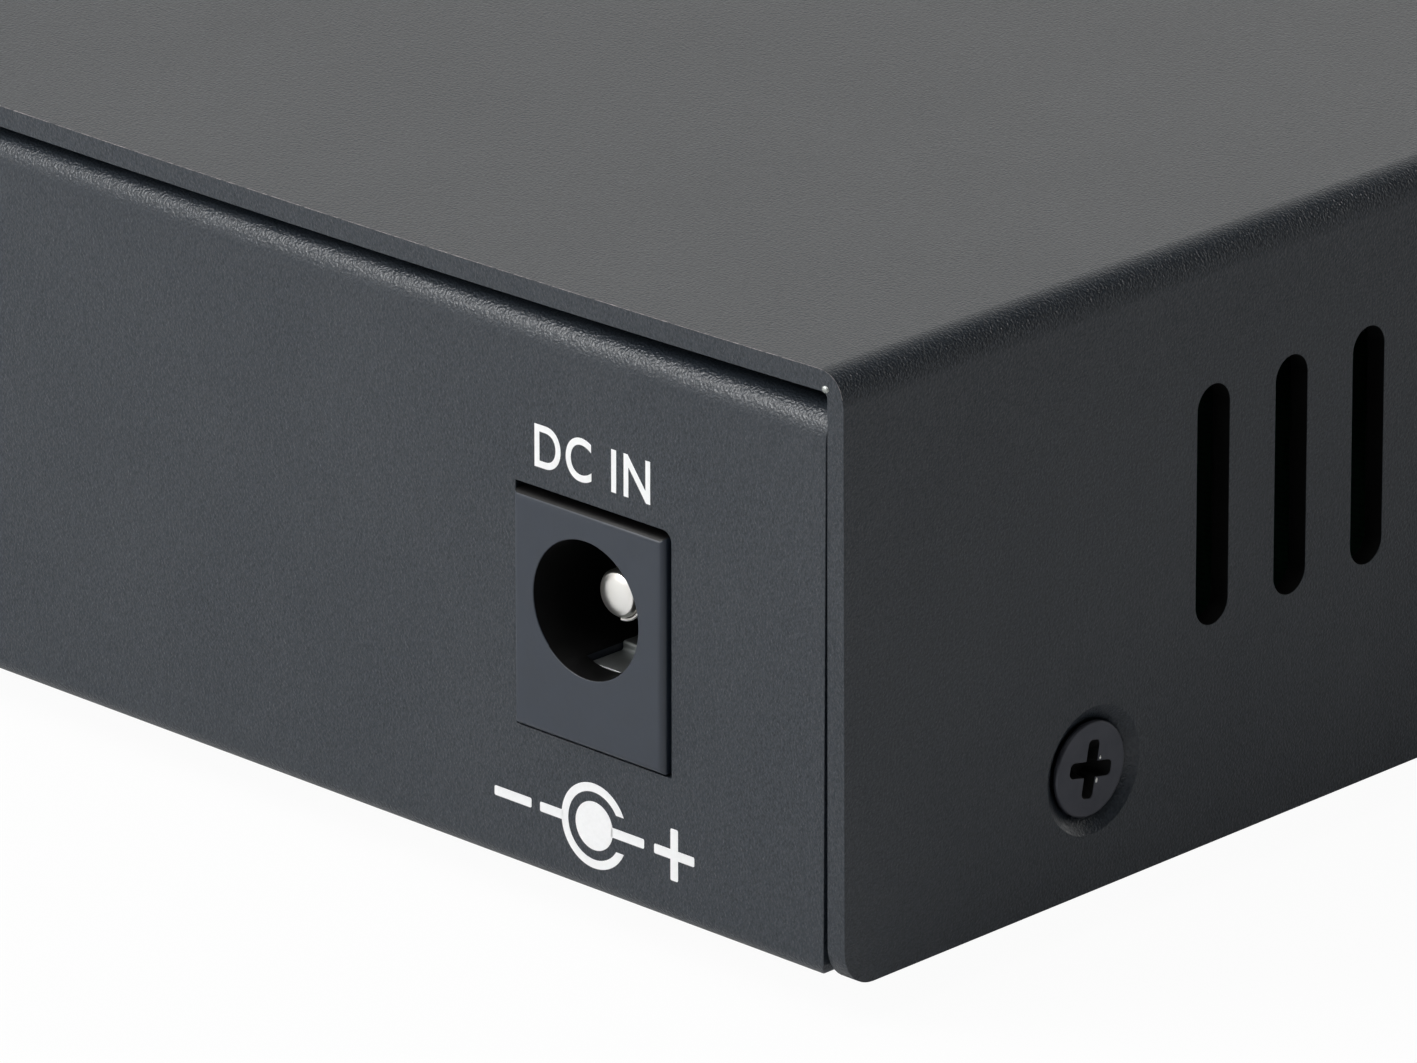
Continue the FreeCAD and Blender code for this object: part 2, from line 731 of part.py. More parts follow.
def make_tray():
    body = new_body("base_tray")
    end_inside = half_depth - d.tray_wall
    flange_end = half_depth - d.panel_flange
    flange_under = panel_top - d.tray_wall
    grow(
        body,
        "floor_and_ends",
        "side",
        -tray_half,
        tray_half,
        outline(
            (-half_depth, case_bottom, d.tray_bend),
            (half_depth, case_bottom, d.tray_bend),
            (half_depth, panel_top, d.panel_bend),
            (flange_end, panel_top),
            (flange_end, flange_under),
            (end_inside, flange_under, d.fold_inside),
            (end_inside, tray_floor, d.fold_inside),
            (-end_inside, tray_floor, d.fold_inside),
            (-end_inside, flange_under, d.fold_inside),
            (-flange_end, flange_under),
            (-flange_end, panel_top),
            (-half_depth, panel_top, d.panel_bend),
        ),
    )
    for name, low, high in (
        ("back_corners", end_inside - d.fold_inside, half_depth),
        ("front_corners", -half_depth, d.fold_inside - end_inside),
    ):
        carve(
            body,
            name,
            "front",
            low,
            high,
            rectangle(-half_width, half_width, 0, case_top),
            outline(
                (-tray_half, case_bottom, d.tray_corner),
                (tray_half, case_bottom, d.tray_corner),
                (tray_half, panel_top + d.panel_gap / 2),
                (-tray_half, panel_top + d.panel_gap / 2),
            ),
        )
    fold_line = tray_half - d.tray_wall - d.fold_inside
    relief_end = end_inside - d.fold_inside
    side_end = relief_end - d.relief_width
    strips = carve(
        body,
        "side_strips",
        "top",
        case_bottom,
        tray_floor,
        rectangle(fold_line, tray_half, -relief_end, relief_end),
    )
    mirror(body, "side_strips_left", strips)
    flange_root = fold_line - d.tray_wall
    flange = grow(
        body,
        "side_flange",
        "front",
        -side_end,
        side_end,
        outline(
            (flange_root, case_bottom),
            (tray_half, case_bottom, d.tray_bend),
            (tray_half, case_bottom + d.side_flange_height),
            (tray_half - d.tray_wall, case_bottom + d.side_flange_height),
            (tray_half - d.tray_wall, tray_floor, d.fold_inside),
            (flange_root, tray_floor),
        ),
    )
    mirror(body, "side_flange_left", flange)
    boss_face = tray_half - d.tray_wall - d.boss_height
    thread = d.screw_thread / 2 + d.screw_play
    bosses = grow(
        body,
        "bosses",
        "side",
        boss_face,
        tray_half - d.tray_wall,
        disc(screw_y, screw_z, d.boss_radius),
        disc(-screw_y, screw_z, d.boss_radius),
    )
    mirror(body, "bosses_left", bosses)
    threads = carve(
        body,
        "threads",
        "side",
        boss_face,
        tray_half,
        disc(screw_y, screw_z, thread),
        disc(-screw_y, screw_z, thread),
    )
    mirror(body, "threads_left", threads)
    # the countersunk heads reach a little way into the side flanges
    cone_here = d.screw_head / 2 + d.screw_sunk + d.screw_land + d.screw_play
    cone_here = cone_here - d.cover_wall - d.tray_gap
    seats = carve(
        body,
        "seats",
        "side",
        tray_half - (cone_here - thread),
        tray_half,
        disc(screw_y, screw_z, cone_here),
        disc(-screw_y, screw_z, cone_here),
        taper=45,
    )
    mirror(body, "seats_left", seats)
    carve(
        body,
        "post_holes",
        "top",
        case_bottom,
        tray_floor,
        *[disc(x, y, d.post_shank + d.rivet_play) for x, y in post_places()],
    )
    cutout_left = jack_x - d.jack_width / 2 - d.jack_gap_outer
    cutout_right = jack_x + d.jack_width / 2 + d.jack_gap_inner
    cutout_low = board_top - d.jack_gap_below
    cutout_high = board_top + d.jack_height + d.jack_gap_above
    carve(
        body,
        "power_cutout",
        "front",
        end_inside,
        half_depth,
        outline(
            (cutout_left, cutout_low),
            (cutout_right, cutout_low),
            (cutout_right, cutout_high),
            (cutout_left, cutout_high, d.jack_cutout_corner),
        ),
    )
    carve(
        body,
        "front_cutouts",
        "front",
        -half_depth,
        -end_inside,
        rectangle(
            net_x - d.net_width / 2 - d.cutout_gap,
            net_x + d.net_width / 2 + d.cutout_gap,
            board_top - d.cutout_gap,
            net_top + d.cutout_gap,
        ),
        rectangle(
            fibre_x - d.fibre_width / 2 - d.cutout_gap,
            fibre_x + d.fibre_width / 2 + d.cutout_gap,
            board_top - d.cutout_gap,
            board_top + d.fibre_height + d.cutout_gap,
        ),
        *[disc(x, z, d.lamp_hole) for x in lamp_columns for z in lamp_levels],
    )
    return node(body, "base_tray")


def make_cover_screws():
    """Countersunk screws through the cover's sides into the tray. Each stopped at its own turn."""
    thread = d.screw_thread / 2
    land_end = screw_face - d.screw_land
    cone_end = land_end - (d.screw_head / 2 - thread)
    pieces = []
    for i, (end, turn) in enumerate(((1, 8), (-1, 52))):
        where = (screw_y * end, screw_z)
        screw = join(
            f"cover_screw_{i}_solid",
            rod(f"cover_screw_{i}_land", "X", where, land_end, screw_face, d.screw_head / 2),
            cone(f"cover_screw_{i}_cone", "X", where, cone_end, land_end, thread, d.screw_head / 2),
            rod(f"cover_screw_{i}_shank", "X", where, screw_face - d.screw_length, cone_end, thread),
        )
        recess = cross_recess(
            f"cover_screw_{i}_cross",
            "X",
            where,
            screw_face - d.cross_depth,
            screw_face,
            d.cross_span,
            d.cross_width,
            turn,
        )
        pieces.append(cut(f"cover_screw_{i}", screw, recess))
    right = group("cover_screws_right", pieces)
    left = document.addObject("Part::Mirroring", "cover_screws_left")
    left.Source = right
    left.Normal = X_AXIS
    return node(group("cover_screws", [right, left]), "cover_screws")


def make_feet():
    feet = []
    for i, (side, end) in enumerate(((-1, -1), (1, -1), (-1, 1), (1, 1))):
        where = ((half_width - d.foot_inset) * side, (half_depth - d.foot_inset) * end)
        floor_radius = d.foot_radius - d.foot_draft
        feet.append(cone(f"foot_{i}", "Z", where, 0, case_bottom, floor_radius, d.foot_radius))
    return node(group("rubber_feet", feet), "rubber_feet")


# ---- circuit board ------------------------------------------------------------------------


def tail_slot(x, y):
    """A board slot for a flat tail that is broad across X."""
    reach = d.tail_width / 2 + d.tail_play
    depth = d.tail_wall / 2 + d.tail_play
    return rectangle(x - reach, x + reach, y - depth, y + depth)


def make_board():
    body = new_body("circuit_board")
    grow(
        body,
        "board_sheet",
        "top",
        board_under,
        board_top,
        rectangle(-board_half, board_half, board_front, board_back, d.board_corner),
    )
    carve(
        body,
        "screw_holes",
        "top",
        board_under,
        board_top,
        *[disc(x, y, d.board_screw_thread / 2 + d.board_screw_play) for x, y in post_places()],
    )
    carve(
        body,
        "power_slots",
        "top",
        board_under,
        board_top,
        tail_slot(bore_x, pin_tail_y),
        tail_slot(bore_x, spring_tail_y),
    )
    carve(
        body,
        "peg_holes",
        "top",
        board_under,
        board_top,
        *[disc(x, net_peg_y, d.net_peg + d.peg_play) for x in net_pegs],
        *[disc(x, fibre_stud_y, d.fibre_stud + d.peg_play) for x in fibre_studs],
    )
    pin_hole = carve(
        body,
        "fibre_pin_hole",
        "top",
        board_under,
        board_top,
        disc(first_fibre_pin_x, fibre_pin_y, d.pin_hole),
    )
    repeat(body, "fibre_pin_holes", pin_hole, "X", d.fibre_pin_pitch, d.fibre_pin_count)
    return node(body, "circuit_board")


def make_posts():
    posts = []
    bore = d.board_screw_thread / 2 + d.board_screw_play
    for i, where in enumerate(post_places()):
        outside = join(
            f"post_{i}_outside",
            rod(f"post_{i}_collar", "Z", where, tray_floor, board_under, d.post_radius),
            rod(f"post_{i}_shank", "Z", where, case_bottom, tray_floor, d.post_shank),
        )
        hole = rod(f"post_{i}_hole", "Z", where, case_bottom, board_under, bore)
        posts.append(cut(f"post_{i}", outside, hole))
    return node(group("board_posts", posts), "board_posts")


def make_board_screws():
    screws = []
    head_top = board_top + d.board_screw_head_height
    for i, where in enumerate(post_places()):
        tip = board_top - d.board_screw_length
        solid = join(
            f"board_screw_{i}_solid",
            rod(f"board_screw_{i}_head", "Z", where, board_top, head_top, d.board_screw_head / 2),
            rod(f"board_screw_{i}_shank", "Z", where, tip, board_top, d.board_screw_thread / 2),
        )
        recess = cross_recess(
            f"board_screw_{i}_cross",
            "Z",
            where,
            head_top - d.board_cross_depth,
            head_top,
            d.board_cross_span,
            d.board_cross_width,
            SIZES["board_cross_turn"] * i,
        )
        screws.append(cut(f"board_screw_{i}", solid, recess))
    return node(group("board_screws", screws), "board_screws")


# ---- power socket -------------------------------------------------------------------------

jack_back = jack_face - d.jack_length
jack_bore_end = jack_face - d.jack_bore_depth
pin_tail_y = jack_back - d.tail_wall / 2
spring_level = jack_z - d.jack_bore / 2
spring_tail_y = jack_face - d.jack_collar - d.tail_play - d.tail_wall / 2


def make_jack():
    body = new_body("dc_jack_housing")
    left, right = jack_x - d.jack_width / 2, jack_x + d.jack_width / 2
    grow(
        body,
        "jack_collar",
        "front",
        jack_face - d.jack_collar,
        jack_face,
        rectangle(left, right, board_top, board_top + d.jack_height),
    )

    def face_rim(edge):
        return abs(edge.BoundBox.YMin - jack_face.number) < SAME_PLACE and edge.BoundBox.YLength < SAME_PLACE

    round_edges(body, "jack_face_rim", d.jack_rim, face_rim)
    half = d.jack_body_width / 2
    shoulder = board_top + d.jack_height - half - d.jack_barrel_drop
    grow(
        body,
        "jack_body",
        "front",
        jack_back,
        jack_face - d.jack_collar,
        rectangle(jack_x - half, jack_x + half, board_top, shoulder),
    )
    grow(
        body,
        "jack_barrel",
        "front",
        jack_back,
        jack_face - d.jack_collar,
        disc(jack_x, shoulder, half),
    )
    carve(
        body,
        "jack_bore",
        "front",
        jack_bore_end,
        jack_face,
        disc(bore_x, jack_z, d.jack_bore / 2),
    )
    carve(
        body,
        "pin_hole",
        "front",
        jack_back,
        jack_bore_end,
        disc(bore_x, jack_z, d.jack_pin_root),
    )
    slot_half = d.jack_spring_width / 2 + d.jack_spring_play
    carve(
        body,
        "spring_slot",
        "front",
        jack_bore_end,
        jack_face - d.jack_spring_front + d.jack_spring_play,
        rectangle(
            bore_x - slot_half, bore_x + slot_half, spring_level - d.jack_spring_wall, jack_z
        ),
    )
    tail_half = d.tail_width / 2 + d.jack_spring_play
    tail_depth = d.tail_wall / 2 + d.jack_spring_play
    carve(
        body,
        "spring_tail_slot",
        "top",
        board_top,
        spring_level,
        rectangle(
            bore_x - tail_half,
            bore_x + tail_half,
            spring_tail_y - tail_depth,
            spring_tail_y + tail_depth,
        ),
    )
    return node(body, "dc_jack_housing")


def make_jack_pin():
    """The centre pin, with a domed tip and a flat tail that goes down the socket's back."""
    radius = d.jack_pin / 2
    tip = jack_face - d.jack_pin_sunk
    where = (bore_x, jack_z)
    tail_bottom = board_under - d.tail_below
    pin = join(
        "dc_jack_pin_solid",
        rod("pin_root", "Y", where, jack_back, jack_bore_end, d.jack_pin_root),
        rod("pin_rod", "Y", where, jack_bore_end, tip - d.jack_pin_dome, radius),
        cone("pin_tip", "Y", where, tip - d.jack_pin_dome, tip, radius, d.jack_pin_flat),
        block(
            "pin_tail",
            (bore_x - d.tail_width / 2, jack_back - d.tail_wall, tail_bottom),
            (bore_x + d.tail_width / 2, jack_back, jack_z + d.jack_pin_root),
        ),
    )
    return node(pin, "dc_jack_pin")


def make_jack_spring():
    """The leaf that presses on the plug's sleeve: it lies in the bore's floor and rises in the middle."""
    body = new_body("dc_jack_spring")
    half = d.jack_spring_width / 2
    back = jack_bore_end + d.jack_spring_play
    front = jack_face - d.jack_spring_front
    crest_start = back + (front - back - d.jack_spring_crest) / 2
    crest_end = crest_start + d.jack_spring_crest
    low, high = spring_level - d.jack_spring_wall, spring_level
    crest = high + d.jack_spring_rise
    bend = d.jack_spring_rise / 3
    tail_low, tail_high = spring_tail_y - d.tail_wall / 2, spring_tail_y + d.tail_wall / 2
    grow(
        body,
        "leaf",
        "side",
        bore_x - half,
        bore_x + half,
        outline(
            (back, low),
            (front, low),
            (front, high),
            (crest_end, high, bend),
            (crest_end, crest, bend),
            (crest_start, crest, bend),
            (crest_start, high, bend),
            (back, high),
        ),
    )
    grow(
        body,
        "spring_tail",
        "top",
        board_under - d.tail_below,
        high,
        rectangle(bore_x - d.tail_width / 2, bore_x + d.tail_width / 2, tail_low, tail_high),
    )
    return node(body, "dc_jack_spring")


# ---- network socket -----------------------------------------------------------------------

net_back = net_face + d.net_length
net_left = net_x - d.net_width / 2
net_right = net_x + d.net_width / 2
net_pegs = [net_x - d.net_peg_side, net_x + d.net_peg_side]
net_peg_y = net_face + d.net_peg_inset


def port_outline(grown=0):
    """The plug's opening: the wide part with the latch's two steps below it, grown all round."""
    wide = d.net_port_width / 2 + grown
    latch = d.net_latch_width / 2 + grown
    key = d.net_key_width / 2 + grown
    step = port_floor - d.net_latch_height
    return outline(
        (net_x - wide, port_floor - grown),
        (net_x - latch, port_floor - grown),
        (net_x - latch, step - grown),
        (net_x - key, step - grown),
        (net_x - key, step - d.net_key_height - grown),
        (net_x + key, step - d.net_key_height - grown),
        (net_x + key, step - grown),
        (net_x + latch, step - grown),
        (net_x + latch, port_floor - grown),
        (net_x + wide, port_floor - grown),
        (net_x + wide, port_top + grown),
        (net_x - wide, port_top + grown),
    )


def make_net_shield():
    body = new_body("network_jack_shield")
    wall = d.net_shield
    grow(
        body,
        "shield_outside",
        "front",
        net_face,
        net_back,
        rectangle(net_left, net_right, board_top, net_top),
    )
    carve(
        body,
        "shield_inside",
        "front",
        net_face + wall,
        net_back - wall,
        rectangle(net_left + wall, net_right - wall, board_top, net_top - wall),
    )
    carve(body, "shield_mouth", "front", net_face, net_face + wall, port_outline(d.net_lip))
    return node(body, "network_jack_shield")


def make_net_housing():
    body = new_body("network_jack_housing")
    wall = d.net_shield + d.peg_play
    grow(
        body,
        "housing_block",
        "front",
        net_face + wall,
        net_back - wall,
        rectangle(net_left + wall, net_right - wall, board_top, net_top - wall),
    )
    carve(
        body,
        "port",
        "front",
        net_face + wall,
        net_face + d.net_port_depth,
        port_outline(),
    )
    grow(
        body,
        "pegs",
        "top",
        board_under,
        board_top,
        *[disc(x, net_peg_y, d.net_peg) for x in net_pegs],
    )
    return node(body, "network_jack_housing")


def make_net_contacts():
    """Sprung contacts: each lies along the port's top and a leaf slopes down from its front end."""
    contacts = []
    front = net_face + d.net_contact_start
    back = net_face + d.net_port_depth
    run = d.net_contact_end - d.net_contact_start
    fall = d.net_contact_drop - d.net_contact
    length = Size(
        math.hypot(run.number, fall.number), f"sqrt({(run * run + fall * fall).formula})"
    )
    slope = Size(
        math.degrees(math.atan2(fall.number, run.number)),
        f"atan2({fall.formula}; {run.formula})",
    )
    first_x = net_x - d.net_pitch * (d.net_contact_count - 1) / 2 - d.net_contact / 2
    for i in range(SIZES["net_contact_count"]):
        left = first_x + d.net_pitch * i
        right = left + d.net_contact
        leaf = document.addObject("Part::Box", f"net_contact_{i}_leaf")
        bind(leaf, "Length", d.net_contact)
        bind(leaf, "Width", length)
        bind(leaf, "Height", d.net_contact)
        set_base(leaf, left, front, port_top - d.net_contact)
        turn = FreeCAD.Rotation(-X_AXIS, slope.number)
        leaf.Placement = FreeCAD.Placement(leaf.Placement.Base, turn)
        bind(leaf, "Placement.Rotation.Angle", slope)
        top = block(
            f"net_contact_{i}_top", (left, front, port_top - d.net_contact), (right, back, port_top)
        )
        contacts.append(join(f"net_contact_{i}", leaf, top))
    return node(group("network_jack_contacts", contacts), "network_jack_contacts")


# ---- fibre module -------------------------------------------------------------------------

fibre_back = fibre_face + d.fibre_length
fibre_port_end = fibre_face + d.fibre_port_depth
fibre_pin_y = fibre_back - d.fibre_pin_inset
first_fibre_pin_x = fibre_x - d.fibre_pin_pitch * (d.fibre_pin_count - 1) / 2
fibre_stud_y = fibre_back - d.fibre_stud_inset
fibre_studs = [fibre_x - d.fibre_stud_pitch / 2, fibre_x + d.fibre_stud_pitch / 2]


def make_fibre_module():
    body = new_body("fibre_module_housing")
    half = d.fibre_width / 2
    nose_end = fibre_face + d.fibre_nose
    grow(
        body,
        "nose",
        "front",
        fibre_face,
        nose_end,
        rectangle(fibre_x - half, fibre_x + half, board_top, board_top + d.fibre_height),
    )
    body_half = d.fibre_body_width / 2
    grow(
        body,
        "module_body",
        "front",
        nose_end,
        fibre_back,
        rectangle(
            fibre_x - body_half, fibre_x + body_half, board_top, board_top + d.fibre_body_height
        ),
    )
    wide, tall = d.fibre_port_width / 2, d.fibre_port_height / 2
    key = d.fibre_key_width / 2
    ports = []
    for x in fibre_ports:
        ports.append(
            outline(
                (x - wide, fibre_port_z - tall),
                (x + wide, fibre_port_z - tall),
                (x + wide, fibre_port_z + tall),
                (x + key, fibre_port_z + tall),
                (x + key, fibre_port_z + tall + d.fibre_key_height),
                (x - key, fibre_port_z + tall + d.fibre_key_height),
                (x - key, fibre_port_z + tall),
                (x - wide, fibre_port_z + tall),
            )
        )
    carve(body, "ports", "front", fibre_face, fibre_port_end, *ports)
    grow(
        body,
        "studs",
        "top",
        board_under,
        board_top,
        *[disc(x, fibre_stud_y, d.fibre_stud) for x in fibre_studs],
    )
    return node(body, "fibre_module_housing")


def make_ferrule_sleeves():
    sleeves = []
    tip = fibre_port_end - d.ferrule_length
    for i, x in enumerate(fibre_ports):
        where = (x, fibre_port_z)
        tube = rod(f"sleeve_{i}_outside", "Y", where, tip, fibre_port_end, d.ferrule_radius)
        bore = rod(f"sleeve_{i}_bore", "Y", where, tip, fibre_port_end, d.ferrule_bore)
        sleeves.append(cut(f"sleeve_{i}", tube, bore))
    return node(group("fibre_ferrule_sleeves", sleeves), "fibre_ferrule_sleeves")


def make_port_hooks():
    """Two sprung arms in each port, whose tips catch the plug."""
    hooks = []
    tip = fibre_port_end - d.hook_length
    for i, x in enumerate(fibre_ports):
        for side in (-1, 1):
            near, far = x + d.hook_side * side, x + (d.hook_side + d.hook_wall) * side
            toe = x + (d.hook_side - d.hook_tip) * side
            low_x, high_x = (far, near) if side < 0 else (near, far)
            toe_low, toe_high = (far, toe) if side < 0 else (toe, far)
            z_low = fibre_port_z - d.hook_height / 2
            z_high = fibre_port_z + d.hook_height / 2
            name = f"hook_{i}_{'left' if side < 0 else 'right'}"
            arm = block(f"{name}_arm", (low_x, tip, z_low), (high_x, fibre_port_end, z_high))
            toe_block = block(
                f"{name}_toe", (toe_low, tip, z_low), (toe_high, tip + d.hook_toe, z_high)
            )
            hooks.append(join(name, arm, toe_block))
    return node(group("fibre_port_hooks", hooks), "fibre_port_hooks")


def make_fibre_pins():
    pins = []
    for i in range(SIZES["fibre_pin_count"]):
        x = first_fibre_pin_x + d.fibre_pin_pitch * i
        half = d.fibre_pin / 2
        low = (x - half, fibre_pin_y - half, board_under - d.tail_below)
        pins.append(block(f"fibre_pin_{i}", low, (x + half, fibre_pin_y + half, board_top)))
    return node(group("fibre_module_pins", pins), "fibre_module_pins")


# ---- lamps --------------------------------------------------------------------------------


def make_lamp_blocks():
    blocks = []
    half = d.lamp_block_width / 2
    for i, x in enumerate(lamp_columns):
        blocks.append(
            block(
                f"lamp_block_{i}",
                (x - half, lamp_block_face, board_top),
                (x + half, lamp_block_face + d.lamp_block_depth, board_top + d.lamp_block_height),
            )
        )
    return node(group("lamp_blocks", blocks), "lamp_blocks")


def make_lamps():
    lamps = []
    dome_y = d.lamp_sunk + d.lamp_radius - half_depth
    for i, x in enumerate(lamp_columns):
        for j, z in enumerate(lamp_levels):
            name = f"lamp_{i}_{j}"
            stem = rod(f"{name}_stem", "Y", (x, z), dome_y, lamp_block_face, d.lamp_radius)
            dome = document.addObject("Part::Sphere", f"{name}_dome")
            bind(dome, "Radius", d.lamp_radius)
            dome.Angle1 = 0
            dome.Placement = FreeCAD.Placement(FreeCAD.Vector(), FreeCAD.Rotation(X_AXIS, 90))
            set_base(dome, x, dome_y, z)
            lamps.append(join(name, stem, dome))
    return node(group("lamps", lamps), "lamps")


# ---- parts on the board -------------------------------------------------------------------


def gull_leads(name, x, y, half_body, pitch, count, axis="Y"):
    """Rows of bent leads at both ends of an axis of a package, each a shoulder, a drop and a foot."""
    leads = []
    shoulder = board_top + d.chip_lift + d.lead_rise
    for side in (-1, 1):
        for i in range(count):
            along = pitch * (i - (count - 1) / 2)
            edge = half_body * side
            knee = (half_body + d.lead_reach - d.lead_foot) * side
            end = (half_body + d.lead_reach) * side
            spans = [
                (edge, knee, shoulder, shoulder + d.lead_wall),
                (knee - d.lead_wall * side, knee, board_top, shoulder + d.lead_wall),
                (knee - d.lead_wall * side, end, board_top, board_top + d.lead_wall),
            ]
            lead = f"{name}_{axis}{'high' if side > 0 else 'low'}_{i}"
            parts = []
            for j, (from_body, to_body, z_low, z_high) in enumerate(spans):
                near, far = sorted((from_body, to_body), key=lambda size: size.number)
                low_side, high_side = along - d.lead_width / 2, along + d.lead_width / 2
                if axis == "Y":
                    low, high = (x + low_side, y + near, z_low), (x + high_side, y + far, z_high)
                else:
                    low, high = (x + near, y + low_side, z_low), (x + far, y + high_side, z_high)
                parts.append(block(f"{lead}_{j}", low, high))
            leads.append(join(lead, *parts))
    return leads


def make_chip():
    body = new_body("converter_chip")
    half = d.chip_size / 2
    low = board_top + d.chip_lift
    grow(
        body,
        "chip_package",
        "top",
        low,
        low + d.chip_height,
        rectangle(
            d.chip_x - half, d.chip_x + half, chip_y - half, chip_y + half, d.chip_corner
        ),
    )
    mark = half - d.chip_mark_inset
    carve(
        body,
        "chip_mark",
        "top",
        low + d.chip_height - d.chip_mark_depth,
        low + d.chip_height,
        disc(d.chip_x - mark, chip_y + mark, d.chip_mark),
    )
    return node(body, "converter_chip")


def make_chip_leads():
    rows = []
    for axis in "XY":
        rows += gull_leads(
            "chip_lead",
            d.chip_x,
            chip_y,
            d.chip_size / 2,
            d.lead_pitch,
            SIZES["lead_count"],
            axis,
        )
    return node(group("converter_chip_leads", rows), "converter_chip_leads")


def make_transformer():
    half_x, half_y = d.coil_length / 2, d.coil_width / 2
    body = new_body("line_transformer")
    low = board_top + d.chip_lift
    grow(
        body,
        "transformer_package",
        "top",
        low,
        board_top + d.coil_height,
        rectangle(
            d.coil_x - half_x,
            d.coil_x + half_x,
            coil_y - half_y,
            coil_y + half_y,
            d.chip_corner,
        ),
    )
    return node(body, "line_transformer")


def make_transformer_leads():
    rows = gull_leads(
        "coil_lead",
        d.coil_x,
        coil_y,
        d.coil_width / 2,
        d.coil_pitch,
        SIZES["coil_lead_count"],
    )
    return node(group("line_transformer_leads", rows), "line_transformer_leads")


def make_crystal():
    body = new_body("crystal_can")
    half_x, half_y = d.crystal_length / 2, d.crystal_width / 2
    x, y, rim = d.crystal_x, crystal_y, d.crystal_rim
    grow(
        body,
        "crystal_rim",
        "top",
        board_top,
        board_top + rim,
        rectangle(x - half_x, x + half_x, y - half_y, y + half_y, d.crystal_round),
    )
    grow(
        body,
        "crystal_cap",
        "top",
        board_top + rim,
        board_top + d.crystal_height,
        rectangle(
            x - half_x + rim,
            x + half_x - rim,
            y - half_y + rim,
            y + half_y - rim,
            d.crystal_round - rim,
        ),
    )
    return node(body, "crystal_can")


def can_places():
    first = jack_x + d.can_from_jack
    return [(first + d.can_spacing * i, can_y) for i in range(SIZES["can_count"])]


def make_capacitors():
    cans, bases = [], []
    half = d.can_base / 2
    low = board_top + d.can_base_height
    high = board_top + d.can_height
    for i, (x, y) in enumerate(can_places()):
        neck_low = low + d.can_neck_level
        neck_high = neck_low + d.can_neck_height
        groove = d.can_radius - d.can_neck
        cans.append(
            join(
                f"can_{i}",
                rod(f"can_{i}_lower", "Z", (x, y), low, neck_low, d.can_radius),
                rod(f"can_{i}_neck", "Z", (x, y), neck_low, neck_high, groove),
                rod(f"can_{i}_upper", "Z", (x, y), neck_high, high, d.can_radius),
            )
        )
        bases.append(
            block(f"can_{i}_base", (x - half, y - half, board_top), (x + half, y + half, low))
        )
    node(group("capacitor_cans", cans), "capacitor_cans")
    return node(group("capacitor_bases", bases), "capacitor_bases")


def make_choke():
    x, y, half = d.choke_x, choke_y, d.choke_size / 2
    top = board_top + d.choke_height
    core_low, core_high = board_top + d.choke_flange, top - d.choke_flange
    lower = block(
        "choke_lower", (x - half, y - half, board_top), (x + half, y + half, core_low)
    )
    core = rod("choke_core_rod", "Z", (x, y), core_low, core_high, d.choke_core)
    upper = rod("choke_upper", "Z", (x, y), core_high, top, half)
    return node(join("power_choke_solid", lower, core, upper), "power_choke")


def make_regulator():
    x, y = d.regulator_x, regulator_y
    half_x, half_y = d.regulator_width / 2, d.regulator_depth / 2
    package = block(
        "regulator_package",
        (x - half_x, y - half_y, board_top + d.regulator_tab),
        (x + half_x, y + half_y, board_top + d.regulator_height),
    )
    tab = block(
        "regulator_tab_plate",
        (x - half_x + d.regulator_tab_step, y - half_y, board_top),
        (
            x + half_x - d.regulator_tab_step,
            y + half_y + d.regulator_tab_reach,
            board_top + d.regulator_tab,
        ),
    )
    return node(join("regulator_solid", package, tab), "regulator")


def small_rows(name, x, y):
    """Two rows of small surface-mount parts, as separate solids."""
    pieces = []
    for row in range(SIZES["small_rows"]):
        for i in range(SIZES["small_row_count"]):
            low_x = x + d.small_pitch * i
            low_y = y + d.small_row_gap * row
            pieces.append(
                block(
                    f"{name}_{row}_{i}",
                    (low_x, low_y, board_top),
                    (low_x + d.small_width, low_y + d.small_length, board_top + d.small_height),
                )
            )
    return pieces


def make_small_parts():
    resistors = small_rows("resistor", d.resistor_x, board_front + d.resistor_from_front)
    capacitors = small_rows("ceramic", d.ceramic_x, board_front + d.ceramic_from_front)
    node(group("chip_resistors", resistors), "chip_resistors")
    return node(group("chip_capacitors", capacitors), "chip_capacitors")


make_cover()
make_tray()
make_cover_screws()
make_feet()
make_board()
make_posts()
make_board_screws()
make_jack()
make_jack_pin()
make_jack_spring()
make_net_shield()
make_net_housing()
make_net_contacts()
make_fibre_module()
make_ferrule_sleeves()
make_port_hooks()
make_fibre_pins()
make_lamp_blocks()
make_lamps()
make_chip()
make_chip_leads()
make_transformer()
make_transformer_leads()
make_crystal()
make_capacitors()
make_choke()
make_regulator()
make_small_parts()
document.recompute()

failed = [o.Name for o in document.Objects if "Invalid" in o.State or "Error" in o.State]
if failed:
    raise RuntimeError(f"these objects failed: {failed}")
for thing in nodes:
    if thing.Shape.isNull() or not thing.Shape.isValid() or not thing.Shape.Solids:
        raise RuntimeError(f"{thing.Label} has no valid solid")

os.makedirs("parts", exist_ok=True)
for thing in nodes:
    thing.Shape.exportStep(f"parts/{thing.Label}.step")
    print(f"{thing.Label}: {len(thing.Shape.Solids)} solids, {thing.Shape.Volume:.1f} mm3")
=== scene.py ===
import bpy
import math
from mathutils import Matrix, Vector


